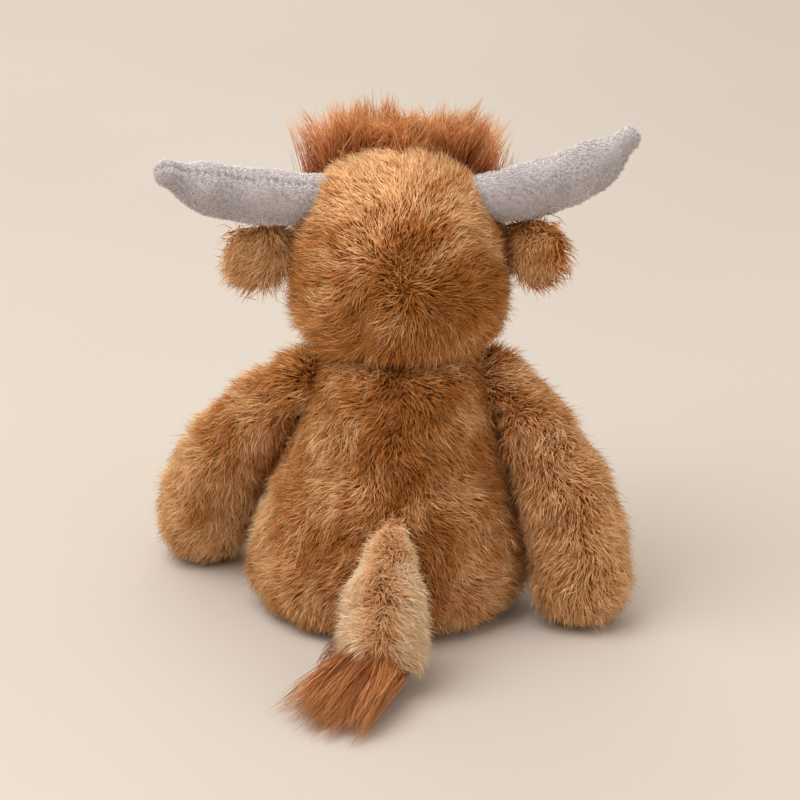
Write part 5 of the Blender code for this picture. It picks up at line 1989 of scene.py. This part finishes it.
@dataclass
class Leg(Sided):
    """A leg that points forward along the floor and ends in a flat suede sole.

    The sole's profile gives places ahead of the foot's face, and shares of the sole's radius with a
    length that is taken off them.
    """

    hip_out: float = 0.0270
    hip_forward: float = 0.05206
    hip_radius: float = 0.0175
    shin_radius: float = 0.019
    foot_radius: float = 0.023
    sink: float = 0.0005
    length: float = 0.073
    splay: float = 0.016
    cloth: float = 0.0045
    end_slack: float = 0.0030
    grid: Grid = (60, 60)
    sole_radius: float = 0.016
    sole_profile: tuple[tuple[float, float, float], ...] = (
        (-0.005, 0.0, 0.0), (-0.005, 0.9, 0.0), (-0.0035, 1.0, 0.0), (-0.0012, 1.0, 0.0),
        (-0.0005, 1.0, 0.0004), (-0.0009, 1.0, 0.0014), (-0.0002, 1.0, 0.0026), (0.0004, 0.7, 0.0),
        (0.0007, 0.35, 0.0), (0.0008, 0.0, 0.0),
    )
    sole_columns: int = 72
    stitches: int = 44
    stitch_slant: float = 0.09
    stitch_insets: Pair = (0.0021, 0.0008)
    stitch_depth: float = 0.0004
    stitch_lift: float = 0.0003
    stitch_radius: float = 0.0002
    bare_from: float = 0.0045
    bare_rim: float = 0.0006
    foot_trim: float = 0.75
    layers: Piles = fur(0.0100, 0.66, 1.05)

    def limb(self) -> Limb:
        """The leg's tube, straight from hip to foot, its end nearly flat.

        Returns:
            The tube.
        """
        sign = self.side.value
        hip = np.array((sign * self.hip_out, -self.hip_forward, self.hip_radius - self.sink))
        foot = hip + (sign * self.splay, -self.length, self.foot_radius - self.hip_radius)
        radii = (self.hip_radius, self.shin_radius, self.foot_radius, self.foot_radius)
        return Limb(hip, (hip + foot) / 2, foot, radii, self.foot_radius / 2, 0.5)

    def build_sole(self, limb: Limb) -> None:
        """A low cushion turned about the leg's heading, with stitches round its rim.

        Args:
            limb: The leg's tube.
        """
        face, rim = limb.end_length, self.sole_radius
        matrix = axis_frame(limb.end, limb.heading)
        profile = [(face + ahead, rim * share - inset) for ahead, share, inset in self.sole_profile]
        mesh = lathe(profile, matrix, self.sole_columns).mesh(f"{self.body}_sole_pad")
        self.publish(mesh, SUEDE.slot, SUEDE.backing, [f"{self.body}_sole"], fill=0.4)
        level = np.full(self.stitches, face - self.stitch_depth)

        def ring(inset: float, slant: float) -> Array:
            """Points on a circle so far inside the rim, turned by a slant in radians."""
            spin = (rim - inset) * np.exp(1j * (ring_angles(self.stitches) + slant))
            return placed(np.stack([spin.real, spin.imag, level], axis=-1), matrix)

        ends = (ring(self.stitch_insets[0], 0.0), ring(self.stitch_insets[1], self.stitch_slant))
        lift = limb.heading * self.stitch_lift
        mesh = thread_mesh(f"{self.body}_sole_stitches", *ends, lift, self.stitch_radius)
        self.publish(mesh, SUEDE.slot, SUEDE.fibres)

    def build(self) -> None:
        """Makes the skin, its pile and the sole."""
        limb = self.limb()
        under = limb.thinner(self.cloth)
        skin = replace(under, end_length=under.end_length + self.end_slack).skin(*self.grid)
        self.stuff(skin, PLUSH, ("cover", "filling"), fill=0.75)

        def trim(places: Array) -> Array:
            """Bare under the sole, and a little shorter just round it.

            Args:
                places: The roots.

            Returns:
                The share of the full length at each.
            """
            gap = places - limb.end
            ahead = gap @ limb.heading
            off = np.linalg.norm(gap - ahead[:, None] * limb.heading, axis=1)
            bare = (ahead > self.bare_from) & (off < self.sole_radius + self.bare_rim)
            return np.where(bare, 0.0, np.where(ahead > 0, self.foot_trim, 1.0))

        self.grow(self.layers, skin, PLUSH, Grain(lambda sown: sown.along, trim))
        self.build_sole(limb)


@dataclass
class Tassel(Part):
    """Long hair that fans out over the floor from the knot in the tail's end."""

    stand_off: float = 0.0088
    radius: float = 0.009
    rise: float = 0.0003
    angle: float = 22.0
    length: float = 0.051
    width: float = 0.031
    count: int = 96
    spread_share: float = 0.85
    flatness: float = 1.2
    root_back: float = 0.009
    root_across: float = -0.0020
    root_rise: float = 0.0055
    lengths: Pair = (0.50, 1.04)
    corner: float = 0.16
    tip_across: float = 0.002
    tip_heights: Pair = (0.0012, 0.0085)
    tip_power: float = 1.5
    bend_across: float = 0.006
    bend_stray: float = 0.0030
    bend_heights: Pair = (0.005, 0.019)
    knot_points: tuple[Pair, ...] = ((-0.002, 0.0), (0.010, 0.002), (0.024, 0.005))
    knot_radii: tuple[float, ...] = (0.0065, 0.0055, 0.003)
    knot_grid: Grid = (24, 32)
    locks: Locks = Locks(hairs=38, spread=0.0024, gather=0.58, wave=0.0013)

    def build(self, tail: Limb) -> None:
        """Makes the locks and the knot that they are bound to.

        Args:
            tail: The tail's tube.
        """
        source = seeded("tassel_layout")
        knot = tail.end + tail.heading * (tail.end_length + self.stand_off)
        knot[2] = self.radius + self.rise
        heading = turn_matrix("Z", -self.angle)[:3, :3] @ unit(tail.heading * LEVEL)
        across = np.cross(UP, heading)
        fan = source.uniform(-1.0, 1.0, self.count)[:, None]
        layer = source.random(self.count)
        turn = source.uniform(0, math.tau, self.count)[:, None]
        spread = self.radius * self.spread_share * np.sqrt(source.random(self.count))[:, None]
        aside = self.flatness * spread * np.cos(turn) + self.root_across
        roots = knot - heading * self.root_back + across * aside
        roots = roots + UP * (self.root_rise + spread * np.sin(turn))
        share = source.uniform(*self.lengths, self.count)[:, None] * (1 - self.corner * fan**2)
        tips = knot + heading * self.length * share + across * (fan * self.width * share + self.tip_across)
        tips[:, 2] = self.tip_heights[0] + self.tip_heights[1] * layer**self.tip_power
        stray = source.normal(0, self.bend_stray, self.count)[:, None]
        bends = (roots + tips) / 2 + across * (fan * self.bend_across + stray)
        bends[:, 2] = self.bend_heights[0] + self.bend_heights[1] * layer
        mesh = self.locks.mesh("tassel_hair", roots, bends, tips)
        # The tassel's hair takes the darker copy of the rust hair, painted shade.
        self.publish(mesh, HAIR.slot, "rust_tassel_strands")
        points = (knot + heading * ahead - UP * drop for ahead, drop in self.knot_points)
        core = Limb(*points, self.knot_radii, self.knot_radii[-1])
        mesh = core.skin(*self.knot_grid).mesh("tassel_knot")
        self.publish(mesh, HAIR.slot, HAIR.backing, ["tail_tassel"], fill=0.5)


@dataclass
class Tail(Part):
    """The tail, which bows down to the floor behind the seat, and its tassel."""

    root_height: float = 0.054
    radii: tuple[float, ...] = (0.0068, 0.0112, 0.0160, 0.0172)
    reach: float = 0.0424
    sweep: float = 0.005
    sink: float = 0.0005
    bow: float = 0.018
    cloth: float = 0.0040
    grid: Grid = (56, 56)
    root_trim: Rise = Rise(0.004, 0.032, 0.56, 1.0)
    end_trim: Rise = Rise(-0.004, 0.006, 1.0, 0.50)
    parting: float = 0.0040
    parting_comb: Bell = Bell(1.3, 2.2)
    weight: Point = (0.0, 0.0, -0.10)
    pallor: float = 0.42
    # Painted shade: how much darker the pile is down the parting.
    parting_colour: Bell = Bell(0.70, 1.0)
    layers: Piles = fur(0.0118, 1.4, 2.5, lean=64)

    def limb(self, form: Turned) -> Limb:
        """The tail's tube, from the centre-back seam, bowed up and back, to its end on the floor.

        Args:
            form: The form of the torso that carries the root.

        Returns:
            The tube.
        """
        back = form.half_width(self.root_height) * form.flatness(self.root_height)
        root = np.array((form.middle_x(self.root_height), back, self.root_height))
        end = np.array((root[0] + self.sweep, back + self.reach, self.radii[-1] - self.sink))
        bend = (root + end) / 2 + unit(np.array((0.0, 1.0, 1.0))) * self.bow
        return Limb(root, bend, end, self.radii, self.radii[-1] / 2)

    def build(self, form: Turned) -> None:
        """Makes the skin, its pile and the tassel.

        Args:
            form: The form of the torso that carries the tail.
        """
        limb = self.limb(form)
        skin = limb.thinner(self.cloth).skin(*self.grid)
        self.stuff(skin, PALE, ("cover", "filling"), fill=0.7)

        def trim(places: Array) -> Array:
            """Short at the root, and shorter again round the end."""
            past = (places - limb.end) @ limb.heading
            return self.root_trim.at(away(places, limb.start)) * self.end_trim.at(past)

        def aside(places: Array) -> Array:
            """How far each place lies across from the tail's upper middle line, over the parting's width."""
            share = np.clip((places[:, 1] - limb.start[1]) / (limb.end[1] - limb.start[1]), 0.0, 1.0)
            return (places[:, 0] - limb.start[0] - share * (limb.end[0] - limb.start[0])) / self.parting

        def comb(sown: Sown) -> Array:
            """Down the tail, and out from the parting along its upper middle line."""
            off = aside(sown.places)[:, None]
            return sown.along + np.tanh(off) * self.parting_comb.at(off) * ACROSS + self.weight

        def pallor(places: Array) -> Array:
            """Paler than the torso, with painted shade that makes it darker down the parting."""
            return self.pallor - self.parting_colour.at(aside(places))

        self.grow(self.layers, skin, PALE, Grain(comb, trim, pallor))
        Tassel(self.finishes).build(limb)


@dataclass
class Inside(Part):
    """The solids that stay as they are inside the toy, in finishes of their own."""

    pieces: tuple[tuple[str, str], ...] = (
        ("bean_pouch", "pouch_cotton_weave"),
        ("neck_wad", "white_wadding"),
        ("eye_washer_left", "washer_moulding"),
        ("eye_washer_right", "washer_moulding"),
    )

    def build(self) -> None:
        """Gives each node that stays its detailed material."""
        for name, finish in self.pieces:
            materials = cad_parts[name].data.materials
            materials.clear()
            materials.append(self.finishes[finish])
            LOG.info("%s: finish %s", name, finish)


@dataclass(frozen=True)
class Lamp:
    """A square area lamp: where it hangs, its side, its watts and its colour."""

    name: str
    place: Point
    size: float
    power: float
    colour: Colour


@dataclass
class Studio(Part):
    """The pale floor, the soft lamps and the camera at the photograph's angle."""

    aim: Point = (-0.00565, 0.0, 0.0948)
    elevation: float = 20.0
    distance: float = 1.25
    lens: float = 129.4
    sensor: float = 36.0
    far_clip: float = 30.0
    floor_half: float = 4.0
    floor_points: int = 9
    world_colour: Colour = (0.93, 0.83, 0.71)
    world_strength: float = 0.62
    lamps: tuple[Lamp, ...] = (
        Lamp("key_lamp", (0.70, 0.45, 1.65), 1.6, 25.0, (1.0, 0.98, 0.95)),
        Lamp("fill_lamp", (-1.3, 0.9, 0.9), 1.2, 3.0, (1.0, 0.96, 0.92)),
        Lamp("front_lamp", (0.3, -1.6, 1.1), 1.4, 7.0, (1.0, 0.98, 0.95)),
    )

    def build_floor(self) -> None:
        """A wide flat sheet under the toy, as a grid of squares."""
        line = np.linspace(-self.floor_half, self.floor_half, self.floor_points)
        x, y = np.meshgrid(line, line, indexing="ij")
        points = np.stack([x, y, np.zeros_like(x)], axis=-1).reshape(-1, 3)
        steps = np.arange(self.floor_points - 1)
        corner = (steps[:, None] * self.floor_points + steps).ravel()
        faces = corner[:, None] + (0, self.floor_points, self.floor_points + 1, 1)
        mesh = bpy.data.meshes.new("studio_floor")
        mesh.from_pydata(points.tolist(), [], faces.tolist())
        mesh.materials.append(self.finishes["studio_paper"])
        floor = bpy.data.objects.new("studio_floor", mesh)
        bpy.context.scene.collection.objects.link(floor)

    def place(self, data: bpy.types.ID, place: Point) -> bpy.types.Object:
        """A camera or lamp at a place, turned to the aim with its top up.

        Args:
            data: The camera or lamp.
            place: Where it stands.

        Returns:
            The object.
        """
        obj = bpy.data.objects.new(data.name, data)
        obj.matrix_world = Matrix(axis_frame(np.array(place), np.array(place) - self.aim).tolist())
        bpy.context.scene.collection.objects.link(obj)
        return obj

    def build(self) -> None:
        """Makes the floor, the world, the lamps and the camera."""
        self.build_floor()
        scene = bpy.context.scene
        scene.world = bpy.data.worlds.new("studio_world")
        scene.world.use_nodes = True
        background = scene.world.node_tree.nodes["Background"]
        background.inputs["Color"].default_value = (*self.world_colour, 1.0)
        background.inputs["Strength"].default_value = self.world_strength
        for lamp in self.lamps:
            light = bpy.data.lights.new(lamp.name, "AREA")
            light.shape, light.size = "SQUARE", lamp.size
            light.energy, light.color = lamp.power, lamp.colour
            self.place(light, lamp.place)
        rise = math.radians(self.elevation)
        away_from_aim = self.distance * np.array((0.0, math.cos(rise), math.sin(rise)))
        camera = bpy.data.cameras.new("photo_camera")
        camera.lens, camera.sensor_width, camera.clip_end = self.lens, self.sensor, self.far_clip
        scene.camera = self.place(camera, np.array(self.aim) + away_from_aim)
        scene.view_settings.view_transform = "Standard"
        LOG.info("studio: floor, world, three lamps and the camera")


def main() -> None:
    """Builds every part of the toy in order, then the studio."""
    logging.basicConfig(level=logging.INFO, format="%(name)s: %(message)s")
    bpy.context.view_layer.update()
    effects = Effects()
    finishes = {finish.name: finish.build(effects) for finish in FINISHES}
    torso, head = Torso(finishes), Head(finishes)
    torso.build()
    head.build()
    Forelock(finishes).build(head.form)
    Horn(finishes, Side.LEFT, (0.035281, -0.003, 0.184015), droop=4.0, roll=40.0).build()
    Horn(finishes, Side.RIGHT, (-0.046481, -0.003, 0.184015), droop=0.0, roll=0.0).build()
    Ear(finishes, Side.LEFT, (0.045075, -0.006, 0.165995), droop=36.0, back=0.0, pallor=0.80).build()
    Ear(finishes, Side.RIGHT, (-0.056275, -0.006, 0.165995), droop=21.0, back=45.0, pallor=-0.10).build()
    for arm in (
        Arm(finishes, Side.LEFT, paw_gap=0.0034, paw_forward=0.050, whorl=(0.082, 0.008, 0.066)),
        Arm(finishes, Side.RIGHT, paw_gap=0.0022, paw_forward=-0.022, whorl=(-0.070, 0.024, 0.062)),
    ):
        arm.build(torso.form)
    for side in Side:
        Leg(finishes, side).build()
    Tail(finishes).build(torso.form)
    Inside(finishes).build()
    Studio(finishes).build()


if __name__ == "__main__":
    main()
